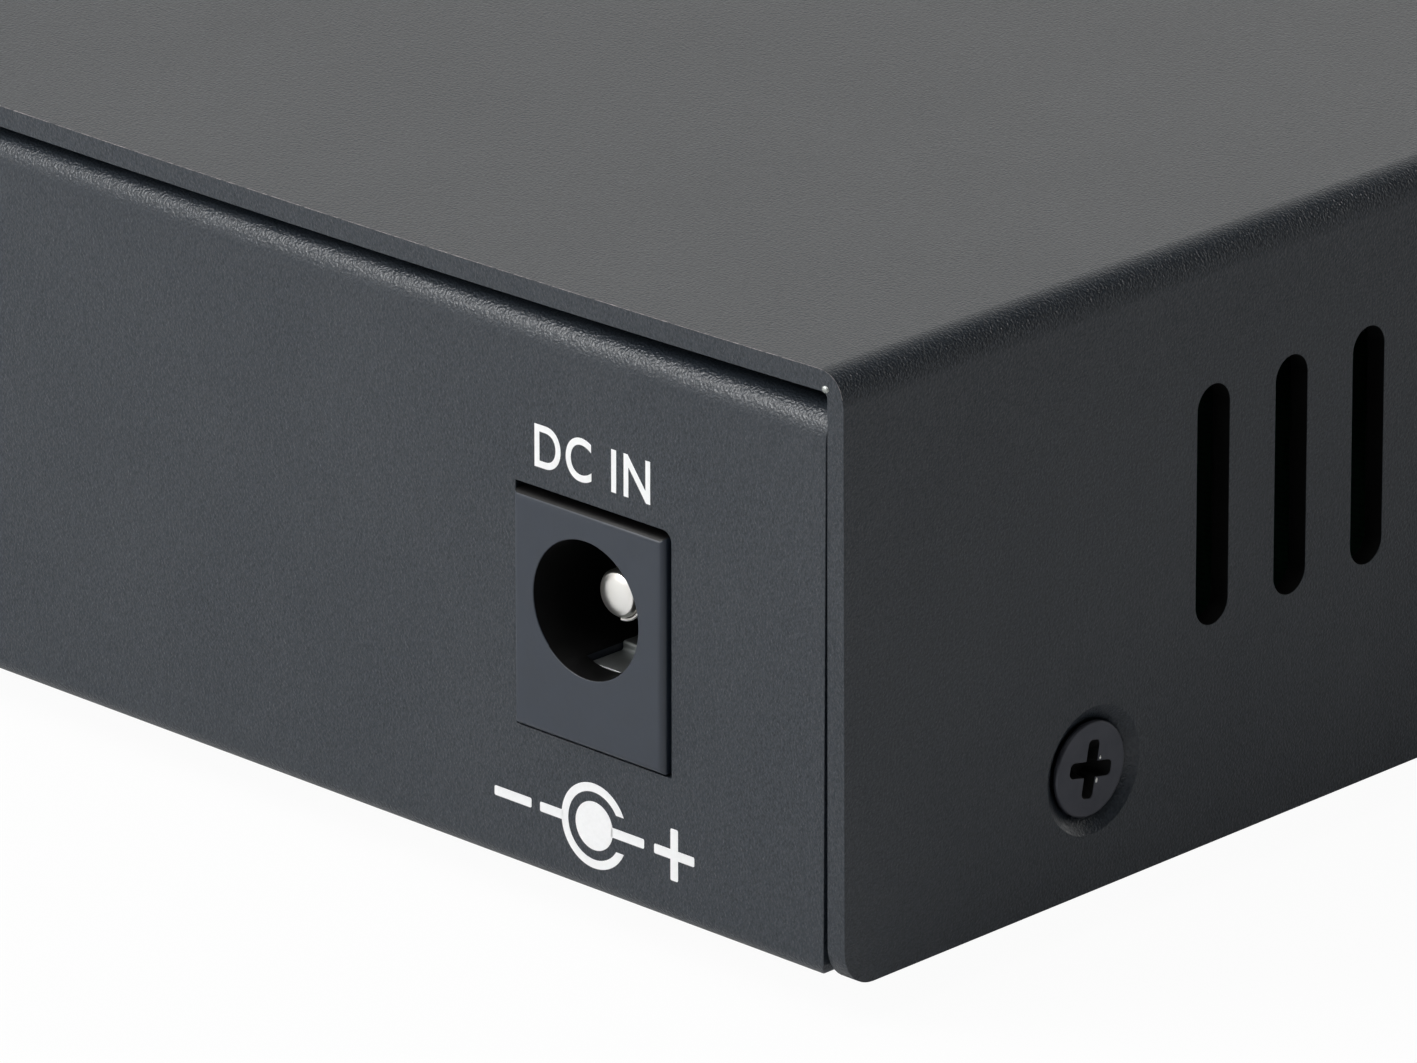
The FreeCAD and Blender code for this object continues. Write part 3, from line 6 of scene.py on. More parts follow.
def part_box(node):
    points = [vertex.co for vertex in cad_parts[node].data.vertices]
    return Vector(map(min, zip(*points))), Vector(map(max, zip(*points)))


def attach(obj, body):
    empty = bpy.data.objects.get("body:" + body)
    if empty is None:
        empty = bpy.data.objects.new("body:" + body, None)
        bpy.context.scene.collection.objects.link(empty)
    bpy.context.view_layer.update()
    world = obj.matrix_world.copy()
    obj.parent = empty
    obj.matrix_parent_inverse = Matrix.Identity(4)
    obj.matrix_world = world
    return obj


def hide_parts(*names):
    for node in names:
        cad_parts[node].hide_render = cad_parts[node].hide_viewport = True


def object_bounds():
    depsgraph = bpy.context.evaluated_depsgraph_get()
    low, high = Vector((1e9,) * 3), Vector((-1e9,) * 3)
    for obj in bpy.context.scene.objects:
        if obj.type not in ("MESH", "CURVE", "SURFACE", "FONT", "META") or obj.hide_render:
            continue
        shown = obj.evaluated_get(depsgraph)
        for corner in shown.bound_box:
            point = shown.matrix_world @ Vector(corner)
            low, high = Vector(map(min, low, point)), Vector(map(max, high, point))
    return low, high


# The looks of a small steel fibre media converter, seen at its power socket's corner.

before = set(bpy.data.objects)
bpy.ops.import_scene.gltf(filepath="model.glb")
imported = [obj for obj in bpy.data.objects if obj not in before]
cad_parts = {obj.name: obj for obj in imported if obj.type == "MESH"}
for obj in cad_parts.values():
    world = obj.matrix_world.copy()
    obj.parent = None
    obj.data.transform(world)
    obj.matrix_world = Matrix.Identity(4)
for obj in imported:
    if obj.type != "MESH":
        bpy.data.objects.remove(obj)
cad_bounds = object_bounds()

MM = 0.001
TOUCH = 1e-6  # metres within which two places count as the same
DOUBLES = 1e-7  # and within which a new piece's corners are merged


# ---- selecting and modelling ----------------------------------------------------------------


def deselect():
    bpy.ops.object.select_all(action="DESELECT")


def activate(obj):
    deselect()
    obj.select_set(True)
    bpy.context.view_layer.objects.active = obj


def named(obj, name):
    obj.name = name
    obj.data.name = name
    return obj


def settle(obj):
    """Puts a piece's place, turn and scale into its mesh."""
    activate(obj)
    bpy.ops.object.transform_apply(location=True, rotation=True, scale=True)
    return obj


def edit(obj):
    activate(obj)
    bpy.ops.object.mode_set(mode="EDIT")
    bpy.ops.mesh.select_mode(type="FACE")
    bpy.ops.mesh.select_all(action="DESELECT")
    bpy.ops.object.mode_set(mode="OBJECT")


def select_faces(obj, wanted):
    """Leaves the piece in edit mode with only the wanted faces selected."""
    edit(obj)
    for face in obj.data.polygons:
        face.select = wanted(face)
    bpy.ops.object.mode_set(mode="EDIT")


def leave_edit():
    bpy.ops.object.mode_set(mode="OBJECT")


def bevel_edges(obj, width, wanted):
    """Rounds the edges that are wanted, judged by their two ends."""
    edit(obj)
    places = [vertex.co for vertex in obj.data.vertices]
    for edge in obj.data.edges:
        edge.select = wanted(*(places[i] for i in edge.vertices))
    bpy.ops.object.mode_set(mode="EDIT")
    bpy.ops.mesh.select_mode(type="EDGE")
    bpy.ops.mesh.bevel(offset=width, segments=3, affect="EDGES")
    leave_edit()


def apply_modifiers(obj):
    activate(obj)
    for modifier in list(obj.modifiers):
        bpy.ops.object.modifier_apply(modifier=modifier.name)


def bevel(obj, width, segments, angle):
    """Rounds the edges that turn by more than an angle."""
    modifier = obj.modifiers.new("soft_edges", "BEVEL")
    modifier.width = width
    modifier.segments = segments
    modifier.limit_method = "ANGLE"
    modifier.angle_limit = math.radians(angle)
    apply_modifiers(obj)


def smooth(obj, angle):
    """Smooth shading that keeps broad flats flat beside their rounded edges."""
    activate(obj)
    bpy.ops.object.shade_smooth_by_angle(angle=math.radians(angle))
    modifier = obj.modifiers.new("flat_faces_lead", "WEIGHTED_NORMAL")
    modifier.weight = 90
    modifier.keep_sharp = True
    apply_modifiers(obj)


def join(name, pieces):
    """Makes one piece of several."""
    deselect()
    for obj in pieces:
        obj.select_set(True)
    bpy.context.view_layer.objects.active = pieces[0]
    bpy.ops.object.join()
    return named(bpy.context.view_layer.objects.active, name)


def copy_of(obj, name):
    """A copy with a mesh of its own."""
    twin = obj.copy()
    twin.data = obj.data.copy()
    bpy.context.scene.collection.objects.link(twin)
    return named(twin, name)


def merged_copy(node_name, name):
    """A copy of a CAD node with its loose triangles merged into whole faces."""
    twin = copy_of(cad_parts[node_name], name)
    twin.parent = None
    select_faces(twin, lambda face: True)
    bpy.ops.mesh.remove_doubles(threshold=TOUCH)
    bpy.ops.mesh.dissolve_limited(angle_limit=math.radians(0.5))
    leave_edit()
    return twin


def turned(name, place, axis, rings, sides):
    """A piece turned about an axis, from rings of (distance along the axis, radius)."""
    direction = Vector(axis).normalized()
    start, radius = rings[0]
    deselect()
    bpy.ops.mesh.primitive_circle_add(
        vertices=sides,
        radius=radius,
        fill_type="NGON",
        location=place + direction * start,
        rotation=direction.to_track_quat("Z", "Y").to_euler(),
    )
    obj = settle(named(bpy.context.active_object, name))
    select_faces(obj, lambda face: True)
    for (last_at, last_radius), (at, radius) in zip(rings, rings[1:]):
        step = direction * (at - last_at)
        bpy.ops.mesh.extrude_region_move(TRANSFORM_OT_translate={"value": step})
        bpy.ops.transform.resize(
            value=(radius / last_radius,) * 3, center_override=place + direction * at
        )
    leave_edit()
    return recalculate_normals(obj)


def rectangular(name, low, high):
    """A block between two corners."""
    low, high = Vector(low), Vector(high)
    deselect()
    bpy.ops.mesh.primitive_cube_add(size=1.0, location=(low + high) / 2, scale=high - low)
    return settle(named(bpy.context.active_object, name))


def ball(name, radius, squash, segments, place=(0, 0, 0)):
    """A squashed ball, for a fleck or bead of metal."""
    deselect()
    bpy.ops.mesh.primitive_uv_sphere_add(
        segments=segments, ring_count=segments // 2, radius=radius, location=place, scale=squash
    )
    return settle(named(bpy.context.active_object, name))


def combine(obj, tool, operation):
    """Cuts a tool out of a piece or adds it to the piece, and removes the tool."""
    modifier = obj.modifiers.new("combine", "BOOLEAN")
    modifier.operation = operation
    modifier.solver = "EXACT"
    modifier.object = tool
    apply_modifiers(obj)
    bpy.data.objects.remove(tool)
    return obj


def cut_with(obj, tool):
    return combine(obj, tool, "DIFFERENCE")


def united(obj, tool):
    return combine(obj, tool, "UNION")


def recalculate_normals(obj):
    select_faces(obj, lambda face: True)
    bpy.ops.mesh.remove_doubles(threshold=DOUBLES)
    bpy.ops.mesh.normals_make_consistent(inside=False)
    leave_edit()
    return obj


# ---- materials ------------------------------------------------------------------------------


def new_material(name):
    material = bpy.data.materials.new(name)
    material.use_nodes = True
    return material, material.node_tree.nodes, material.node_tree.links


def object_noise(nodes, links, scale, detail=2.0):
    """Noise that keeps its size in metres on every piece."""
    place = nodes.new("ShaderNodeTexCoord")
    noise = nodes.new("ShaderNodeTexNoise")
    noise.inputs["Scale"].default_value = scale
    noise.inputs["Detail"].default_value = detail
    links.new(place.outputs["Object"], noise.inputs["Vector"])
    return noise


def ramp(nodes, links, source, *stops):
    """A colour ramp with (place, colour) stops, colours as grey or (r, g, b)."""
    node = nodes.new("ShaderNodeValToRGB")
    elements = node.color_ramp.elements
    while len(elements) < len(stops):
        elements.new(0.5)
    for element, (place, colour) in zip(elements, stops):
        element.position = place
        rgb = (colour,) * 3 if isinstance(colour, (int, float)) else colour
        element.color = (*rgb, 1)
    links.new(source, node.inputs["Fac"])
    return node


def bump(nodes, links, height, distance):
    node = nodes.new("ShaderNodeBump")
    node.inputs["Strength"].default_value = 1.0
    node.inputs["Distance"].default_value = distance
    links.new(height, node.inputs["Height"])
    return node


def surface(
    name,
    dark,
    light,
    grain=900.0,
    rough=(0.4, 0.5),
    metallic=0.0,
    specular=0.5,
    bump_height=0.0,
    bump_scale=2500.0,
):
    """A surface whose colour and roughness wander a little, with a fine relief."""
    material, nodes, links = new_material(name)
    shader = nodes["Principled BSDF"]
    shader.inputs["Metallic"].default_value = metallic
    shader.inputs["Specular IOR Level"].default_value = specular
    wander = object_noise(nodes, links, grain, 3.0)
    colour = ramp(nodes, links, wander.outputs["Fac"], (0.3, dark), (0.7, light))
    links.new(colour.outputs["Color"], shader.inputs["Base Color"])
    sheen = ramp(nodes, links, wander.outputs["Fac"], (0.3, rough[0]), (0.7, rough[1]))
    links.new(sheen.outputs["Color"], shader.inputs["Roughness"])
    if bump_height:
        relief = object_noise(nodes, links, bump_scale)
        node = bump(nodes, links, relief.outputs["Fac"], bump_height)
        links.new(node.outputs["Normal"], shader.inputs["Normal"])
    return material


COAT_DARK = (0.020, 0.026, 0.034)
COAT_LIGHT = (0.025, 0.031, 0.039)
COAT_DULL = 0.36  # specular level between the grain's crests
COAT_BRIGHT = 0.64
COAT_ROUGHNESS = 0.33
COAT_RELIEF = 0.00004
CLOUD_SCALE = 120.0  # noise cells to the metre, from the broadest to the finest
GLINT_SCALE = 7500.0
GRAIN_SCALE = 8500.0
SPECK_SCALE = 9000.0
SPECK_TONES = ((0.25, 0.75), (0.5, 1.0), (0.78, 1.35))


def powder_coat():
    """Charcoal powder coat: a fine orange-peel grain with paler specks."""
    material, nodes, links = new_material("powder_coat")
    shader = nodes["Principled BSDF"]
    shader.inputs["Roughness"].default_value = COAT_ROUGHNESS
    broad = object_noise(nodes, links, CLOUD_SCALE)
    tone = ramp(nodes, links, broad.outputs["Fac"], (0.3, COAT_DARK), (0.7, COAT_LIGHT))
    fine = object_noise(nodes, links, SPECK_SCALE, 1.0)
    speck = ramp(nodes, links, fine.outputs["Fac"], *SPECK_TONES)
    mix = nodes.new("ShaderNodeMix")
    mix.data_type = "RGBA"
    mix.blend_type = "MULTIPLY"
    mix.inputs["Factor"].default_value = 1.0
    links.new(tone.outputs["Color"], mix.inputs["A"])
    links.new(speck.outputs["Color"], mix.inputs["B"])
    links.new(mix.outputs["Result"], shader.inputs["Base Color"])
    glints = object_noise(nodes, links, GLINT_SCALE, 1.0)
    gloss = ramp(nodes, links, glints.outputs["Fac"], (0.28, COAT_DULL), (0.72, COAT_BRIGHT))
    links.new(gloss.outputs["Color"], shader.inputs["Specular IOR Level"])
    grain = object_noise(nodes, links, GRAIN_SCALE, 1.0)
    node = bump(nodes, links, grain.outputs["Fac"], COAT_RELIEF)
    links.new(node.outputs["Normal"], shader.inputs["Normal"])
    return material


coat = powder_coat()
# Paler specks along the top of the cover's cut ends.
pale_edge_coat = surface(
    "pale_edge_coat", (0.022, 0.026, 0.032), (0.40, 0.36, 0.36), grain=3200.0, rough=(0.4, 0.5)
)
black_screw = surface(
    "black_screw",
    (0.065, 0.068, 0.082),
    (0.085, 0.088, 0.105),
    rough=(0.3, 0.42),
    metallic=0.6,
    bump_height=0.00001,
)
# Near black: painted shade on the slots' cut walls and in the drivers' crosses.
painted_shade_black = surface("painted_shade_black", 0.002, 0.004, rough=(0.6, 0.75), specular=0.15)
plain_steel = surface("plain_steel", 0.50, 0.64, rough=(0.25, 0.4), metallic=1.0)
foot_rubber = surface(
    "foot_rubber", 0.018, 0.030, rough=(0.7, 0.85), specular=0.3, bump_height=0.00003
)
socket_plastic = surface(
    "socket_plastic",
    (0.014, 0.021, 0.034),
    (0.017, 0.025, 0.040),
    rough=(0.38, 0.44),
    specular=0.70,
    bump_height=0.000006,
)
# Near black: painted shade in the socket's bore, and the painted shadow of the panel's opening edge
# on its upward faces.
painted_bore_shade = surface("painted_bore_shade", 0.003, 0.005, rough=(0.42, 0.5), specular=0.22)
leaf_steel = surface(
    "leaf_steel", (0.38, 0.40, 0.40), (0.46, 0.485, 0.48), rough=(0.42, 0.5), metallic=1.0
)
bright_pin = surface(
    "bright_pin", (0.97, 0.955, 0.91), (1.0, 0.985, 0.95), rough=(0.27, 0.33), metallic=1.0
)
# Bright bare metal for the fold beads: a painted highlight where the beads glint.
bead_glint_metal = surface(
    "bead_glint_metal", (0.30, 0.32, 0.305), (0.44, 0.46, 0.445), rough=(0.38, 0.48), metallic=1.0
)
gold = surface(
    "gold_contact", (0.80, 0.52, 0.18), (0.90, 0.62, 0.25), rough=(0.15, 0.25), metallic=1.0
)
tin = surface(
    "tin_shield", 0.52, 0.66, grain=350.0, rough=(0.25, 0.42), metallic=1.0, bump_height=0.000008
)
blue_plastic = surface(
    "blue_plastic",
    (0.010, 0.045, 0.22),
    (0.014, 0.055, 0.26),
    rough=(0.28, 0.36),
    bump_height=0.00001,
)
sleeve_ceramic = surface("sleeve_ceramic", (0.72, 0.70, 0.64), (0.80, 0.78, 0.72), rough=(0.2, 0.3))
package_epoxy = surface(
    "package_epoxy", 0.018, 0.028, rough=(0.5, 0.65), bump_height=0.00001, bump_scale=4000.0
)
lead_tin = surface("lead_tin", 0.60, 0.72, rough=(0.25, 0.4), metallic=1.0)
crystal_metal = surface("crystal_metal", 0.55, 0.65, rough=(0.2, 0.32), metallic=1.0)
can_aluminium = surface("can_aluminium", 0.62, 0.74, rough=(0.22, 0.3), metallic=1.0)
ferrite = surface("ferrite", 0.045, 0.065, rough=(0.6, 0.7), bump_height=0.00002)
ceramic_chip = surface("ceramic_chip", (0.34, 0.25, 0.17), (0.42, 0.32, 0.22), rough=(0.45, 0.6))
resistor_film = surface("resistor_film", 0.015, 0.025, rough=(0.3, 0.4))
print_white = surface(
    "print_white", 0.90, 0.94, grain=6000.0, rough=(0.45, 0.6), bump_height=0.000002
)


def board_laminate():
    """Green solder mask over copper tracks that show through as a paler green."""
    material, nodes, links = new_material("board_laminate")
    shader = nodes["Principled BSDF"]
    shader.inputs["Roughness"].default_value = 0.28
    place = nodes.new("ShaderNodeTexCoord")
    tracks = nodes.new("ShaderNodeTexBrick")
    tracks.inputs["Scale"].default_value = 420.0
    tracks.inputs["Mortar Size"].default_value = 0.06
    tracks.inputs["Color1"].default_value = (0.006, 0.075, 0.030, 1)
    tracks.inputs["Color2"].default_value = (0.007, 0.085, 0.034, 1)
    tracks.inputs["Mortar"].default_value = (0.012, 0.130, 0.050, 1)
    links.new(place.outputs["Object"], tracks.inputs["Vector"])
    links.new(tracks.outputs["Color"], shader.inputs["Base Color"])
    return material


def lamp_lens():
    """Clear green moulded lens."""
    material, nodes, links = new_material("lamp_lens")
    shader = nodes["Principled BSDF"]
    shader.inputs["Transmission Weight"].default_value = 0.55
    shader.inputs["IOR"].default_value = 1.5
    cloud = object_noise(nodes, links, 700.0)
    colour = ramp(
        nodes, links, cloud.outputs["Fac"], (0.3, (0.10, 0.42, 0.12)), (0.7, (0.16, 0.55, 0.18))
    )
    links.new(colour.outputs["Color"], shader.inputs["Base Color"])
    shader.inputs["Roughness"].default_value = 0.12
    return material


NODE_FINISHES = {
    "circuit_board": board_laminate(),
    "board_posts": plain_steel,
    "board_screws": plain_steel,
    "network_jack_contacts": gold,
    "fibre_module_pins": lead_tin,
    "lamps": lamp_lens(),
    "converter_chip": package_epoxy,
    "converter_chip_leads": lead_tin,
    "line_transformer": package_epoxy,
    "line_transformer_leads": lead_tin,
    "crystal_can": crystal_metal,
    "capacitor_cans": can_aluminium,
    "capacitor_bases": package_epoxy,
    "power_choke": ferrite,
    "regulator": package_epoxy,
    "chip_resistors": resistor_film,
    "chip_capacitors": ceramic_chip,
}

for node_name, finish in NODE_FINISHES.items():
    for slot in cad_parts[node_name].material_slots:
        slot.material = finish


def paint(obj, material):
    obj.data.materials.clear()
    obj.data.materials.append(material)


def piece(obj, material, record_slot, *replaced):
    """Finishes a new piece: its material, its body and the nodes that it stands for. Its record
    slot is not used.
    """
    paint(obj, material)
    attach(obj, "root")
    if replaced:
        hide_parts(*replaced)
    return obj


def paint_faces(obj, material, wanted):
    """Gives the wanted faces of a finished piece another material."""
    obj.data.materials.append(material)
    last = len(obj.data.materials) - 1
    for face in obj.data.polygons:
        if wanted(face):
            face.material_index = last


# ---- places taken from the frame ------------------------------------------------------------

cover_low, cover_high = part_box("top_cover")
tray_low, tray_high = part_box("base_tray")
jack_low, jack_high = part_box("dc_jack_housing")
pin_low, pin_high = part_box("dc_jack_pin")
screws_low, screws_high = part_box("cover_screws")

screw_head = (screws_high.z - screws_low.z) / 2  # radius
screw_level = (screws_low.z + screws_high.z) / 2
screw_y = screws_high.y - screw_head
PIN_ROOT = 1.2 * MM  # radius of the pin where the socket holds it
pin_axis = Vector(((pin_low.x + pin_high.x) / 2, pin_high.y, pin_high.z - PIN_ROOT))


# ---- case -----------------------------------------------------------------------------------

SHEET = 1.0 * MM
COVER_EDGE = 0.13 * MM  # rounding of the cover's cut edges
EDGE_TURN = 0.2  # the least share of a rounded edge's normal that counts as turned
TRAY_EDGE = 0.10 * MM
PANEL_CORNER = 1.2 * MM  # rounding of the end panels' lower corners
PANEL_DEPTH = 1.4 * MM  # the panels lie this near the tray's ends
SLOTS_LOW = 10.0 * MM  # the slots' ends above the cover's lower edge
SLOTS_HIGH = 21.6 * MM
BEAD = 0.24 * MM  # radius of the metal pressed out at a fold's end
BEAD_SQUASH = (1.0, 0.85, 0.8)
BEAD_IN = 1.24 * MM  # from the cover's side to the bead's middle
BEAD_DOWN = 0.90 * MM  # from its top
BEAD_SUNK = 0.10 * MM  # and from its end
BEAD_WANDER = 0.015 * MM
RECESS_RIM = 2.96 * MM  # radius of a screw's recess at the cover's face
FOLD_ACROSS = 2.4 * MM  # how far the rounding of a fold runs along the top
FOLD_DOWN = 3.4 * MM  # and down the side
INNER_FACE_SHARE = 0.75  # of those lengths: what lies nearer is the sheet's inner face
FOLD_POWER = 4.0  # over 2: tighter in the middle than an arc, with longer ends
FOLD_LOOPS = 24
FOLD_SLACK = 1e-4  # share of its size by which a place may fall short of its start
SQUARE = 0.01  # a normal with less than this along an axis counts as square to it
TOP_SAG = 0.37 * MM  # of the top sheet's middle
SAG_REACH = 3.0 * MM  # what lies this far below the top doesn't sag
TOP_LOOPS = 24
SIDE_LEAN = 0.15 * MM  # of each side's top towards the middle


def on_top_or_side(face, side):
    """True for the outer faces on the top sheet, one side wall and the fold between them."""
    if abs(face.normal.y) > SQUARE:
        return False
    upper = face.normal.z > SQUARE and face.center.z > cover_high.z - FOLD_DOWN
    outer = face.normal.x * side > SQUARE and face.center.x * side > cover_high.x - FOLD_ACROSS
    return upper or outer


def round_cover_fold(cover, side):
    """Adds loops along the fold at one side, and gives it the round of bent sheet."""
    middle = Vector((side * (cover_high.x - FOLD_ACROSS), 0, cover_high.z - FOLD_DOWN))
    for i in range(1, FOLD_LOOPS):
        angle = math.radians(90) * i / FOLD_LOOPS
        across = Vector((-side * math.sin(angle) * FOLD_DOWN, 0, math.cos(angle) * FOLD_ACROSS))
        select_faces(cover, lambda face: on_top_or_side(face, side))
        bpy.ops.mesh.bisect(plane_co=middle, plane_no=across)
        leave_edit()
    for vertex in cover.data.vertices:
        out = (vertex.co.x - middle.x) * side / FOLD_ACROSS
        up = (vertex.co.z - middle.z) / FOLD_DOWN
        if min(out, up) < -FOLD_SLACK or max(out, up) < INNER_FACE_SHARE:
            continue
        angle = math.atan2(up, out)
        power = math.cos(angle) ** FOLD_POWER + math.sin(angle) ** FOLD_POWER
        reach = 1 / power ** (1 / FOLD_POWER)
        vertex.co.x = middle.x + side * reach * math.cos(angle) * FOLD_ACROSS
        vertex.co.z = middle.z + reach * math.sin(angle) * FOLD_DOWN


def split_top(cover):
    """Adds loops along the top sheet, so that it can sag."""
    top = cover_high.z - 2 * SHEET
    for i in range(1, TOP_LOOPS):
        across = cover_low.x + (cover_high.x - cover_low.x) * i / TOP_LOOPS
        select_faces(cover, lambda face: abs(face.normal.z) > 0.9 and face.center.z > top)
        bpy.ops.mesh.bisect(plane_co=(across, 0, 0), plane_no=(1, 0, 0))
        leave_edit()


def relax_cover(cover):
    """Lets the top sag a little in its middle, and the sides lean in towards their fold."""
    height = cover_high.z - cover_low.z
    unmoved = cover_high.z - SAG_REACH
    for vertex in cover.data.vertices:
        across = vertex.co.x / cover_high.x
        share = min(max((vertex.co.z - unmoved) / MM, 0.0), 1.0)
        vertex.co.x *= 1 - SIDE_LEAN / cover_high.x * (vertex.co.z - cover_low.z) / height
        vertex.co.z -= TOP_SAG * (1 - across * across) * share


def widen_recesses(cover):
    """Draws the rim of each screw's recess out to its pressed width."""
    for vertex in cover.data.vertices:
        if abs(vertex.co.x) < cover_high.x - TOUCH:
            continue
        away_y = abs(vertex.co.y) - screw_y
        away_z = vertex.co.z - screw_level
        radius = math.hypot(away_y, away_z)
        if radius < RECESS_RIM:
            vertex.co.y += away_y * (RECESS_RIM / radius - 1) * math.copysign(1, vertex.co.y)
            vertex.co.z += away_z * (RECESS_RIM / radius - 1)


def fold_beads():
    """Metal pressed out at the ends of the folds, where the sheet is bent tightest."""
    beads = []
    for side in (-1, 1):
        for end in (-1, 1):
            across, along = cover_high.x - BEAD_IN, cover_high.y - BEAD_SUNK
            place = (side * across, end * along, cover_high.z - BEAD_DOWN)
            bead = ball("fold_bead", BEAD, BEAD_SQUASH, 24, place)
            select_faces(bead, lambda face: True)
            bpy.ops.transform.vertex_random(offset=BEAD_WANDER, uniform=0.2, seed=7)
            leave_edit()
            beads.append(bead)
    return beads


def on_cut_end(face):
    return abs(face.center.y) > cover_high.y - COVER_EDGE and abs(face.normal.y) > EDGE_TURN


def on_pale_edge(face):
    """The line along the top of the cover's cut ends."""
    return on_cut_end(face) and face.normal.z > EDGE_TURN


def shaded_slot_wall(face):
    """The cut walls of the ventilation slots, painted near black as shade."""
    from_side = cover_high.x - abs(face.center.x)
    in_sheet = 0.1 * SHEET < from_side < 1.1 * SHEET
    beside_slots = SLOTS_LOW < face.center.z - cover_low.z < SLOTS_HIGH
    return in_sheet and beside_slots and abs(face.normal.x) < 0.5 and not on_cut_end(face)


def on_bead(face):
    """What stands out past the cover's cut ends."""
    return abs(face.center.y) > cover_high.y + 0.01 * MM


def make_cover():
    cover = merged_copy("top_cover", "cover_sheet")
    widen_recesses(cover)
    for side in (-1, 1):
        round_cover_fold(cover, side)
    split_top(cover)
    bevel(cover, COVER_EDGE, segments=3, angle=33)
    relax_cover(cover)
    cover = join("cover_sheet", [cover, *fold_beads()])
    smooth(cover, angle=35)
    piece(cover, coat, "powder_coat", "top_cover")
    # A paler specked line along the top of the cut ends.
    paint_faces(cover, pale_edge_coat, on_pale_edge)
    # The slots' cut walls are painted near black: painted shade.
    paint_faces(cover, painted_shade_black, shaded_slot_wall)
    # The beads are real bulges; their bright bare metal is a painted highlight.
    paint_faces(cover, bead_glint_metal, on_bead)


def round_panel_corners(tray):
    """Rounds the lower corners of both end panels, folds and all."""
    for vertex in tray.data.vertices:
        if abs(vertex.co.y) < tray_high.y - PANEL_DEPTH:
            continue
        out = (abs(vertex.co.x) - tray_high.x) / PANEL_CORNER + 1
        down = (tray_low.z - vertex.co.z) / PANEL_CORNER + 1
        if min(out, down) > 0 and math.hypot(out, down) > 1:
            share = 1 / math.hypot(out, down)
            middle_x = tray_high.x - PANEL_CORNER
            vertex.co.x = math.copysign(middle_x + out * share * PANEL_CORNER, vertex.co.x)
            vertex.co.z = tray_low.z + PANEL_CORNER * (1 - down * share)


def make_tray():
    tray = merged_copy("base_tray", "tray_sheet")
    round_panel_corners(tray)
    bevel(tray, TRAY_EDGE, segments=3, angle=40)
    smooth(tray, angle=35)
    piece(tray, coat, "powder_coat", "base_tray")


make_cover()
make_tray()


# ---- cover screws ---------------------------------------------------------------------------

SCREW_LENGTH = 4.6 * MM
SCREW_LAND = 0.2 * MM  # length of the head's straight rim
SCREW_EDGE = 0.035 * MM
HEAD_STAND = 0.12 * MM  # the heads stop this much short of their seats
HEAD_CROWN = ((0, -0.12), (-0.03, -0.04), (-0.10, 0))  # mm along, and past the head's radius
THREAD_CREST = 1.25 * MM
THREAD_ROOT = 1.05 * MM
THREAD_PITCH = 0.45 * MM
THREAD_FORM = ((0.35, THREAD_ROOT), (0.65, THREAD_ROOT), (0.95, THREAD_CREST))  # along a pitch
SCREW_TIP = THREAD_ROOT * 0.9
SCREW_PLACES = ((-1, 1), (-1, -1), (1, 1), (1, -1))  # side and end
SCREW_TURNS = (-11, 61, 37, 19)  # degrees that each driver's cross stopped at
CROSS_SPAN = 2.7 * MM
CROSS_ARM = 0.72 * MM
CROSS_DEPTH = 1.0 * MM
CROSS_ROUND = 0.20 * MM
CROSS_TAPER = ((-1, (0.45, 0.70, 1)), (1, (1.55, 1.30, 1)))  # of its inner and outer end
# Painted highlights: bright flecks where the seen cross's corners glint.
GLINT_FLECKS = ((0.50, 0.50, 0.07), (0.46, -0.52, 0.10))  # mm across the cross, mm up, and radius
GLINT_FLECK_SQUASH = (0.7, 1.2, 0.35)


def head_face(side, end):
    """The middle of a screw's face."""
    return Vector(((screws_high.x + HEAD_STAND) * side, screw_y * end, screw_level))


def on_head(face, out, turn):
    """A stand on a screw's face, turned as its driver stopped."""
    stand = out.to_track_quat("Z", "Y").to_matrix().to_4x4()
    return Matrix.Translation(face) @ stand @ Matrix.Rotation(math.radians(turn), 4, "Z")


def cross_blade(face, out, turn):
    """One pair of the driver's cross: long at the head's face, drawn in towards its bottom."""
    deselect()
    bpy.ops.mesh.primitive_cube_add(
        size=1.0, location=(0, 0, 0), scale=(CROSS_SPAN, CROSS_ARM, 2 * CROSS_DEPTH)
    )
    blade = settle(named(bpy.context.active_object, "cross_blade"))
    for end, shares in CROSS_TAPER:
        select_faces(blade, lambda face: face.normal.z * end > 0.9)
        bpy.ops.transform.resize(value=shares, center_override=(0, 0, CROSS_DEPTH * end))
        leave_edit()
    bevel(blade, CROSS_ROUND, segments=4, angle=60)
    blade.matrix_world = on_head(face, out, turn)
    return settle(blade)


def countersunk_screw(side, end, turn):
    """A screw with a crowned head, a cone under it and a thread, cut with its driver's cross."""
    out = Vector((side, 0, 0))
    face = head_face(side, end)
    cone_end = SCREW_LAND + screw_head - THREAD_CREST
    rings = [(along * MM, screw_head + past * MM) for along, past in HEAD_CROWN]
    rings += [(-SCREW_LAND, screw_head), (-cone_end, THREAD_CREST)]
    for i in range(int((SCREW_LENGTH - cone_end) / THREAD_PITCH)):
        at = -cone_end - THREAD_PITCH * i
        rings += [(at - THREAD_PITCH * share, radius) for share, radius in THREAD_FORM]
    rings.append((-SCREW_LENGTH, SCREW_TIP))
    screw = turned("screw", face, out, rings, 40)
    for quarter in (0, 90):
        cut_with(screw, cross_blade(face, out, turn + quarter))
    return screw


def shaded_cross_wall(face):
    """The walls and bottom of a driver's cross, painted near black as shade."""
    away = math.hypot(abs(face.center.y) - screw_y, face.center.z - screw_level)
    deep = screws_high.x + HEAD_STAND - abs(face.center.x)
    return away < CROSS_SPAN * 0.55 and 0.04 * MM < deep < CROSS_DEPTH + 0.05 * MM


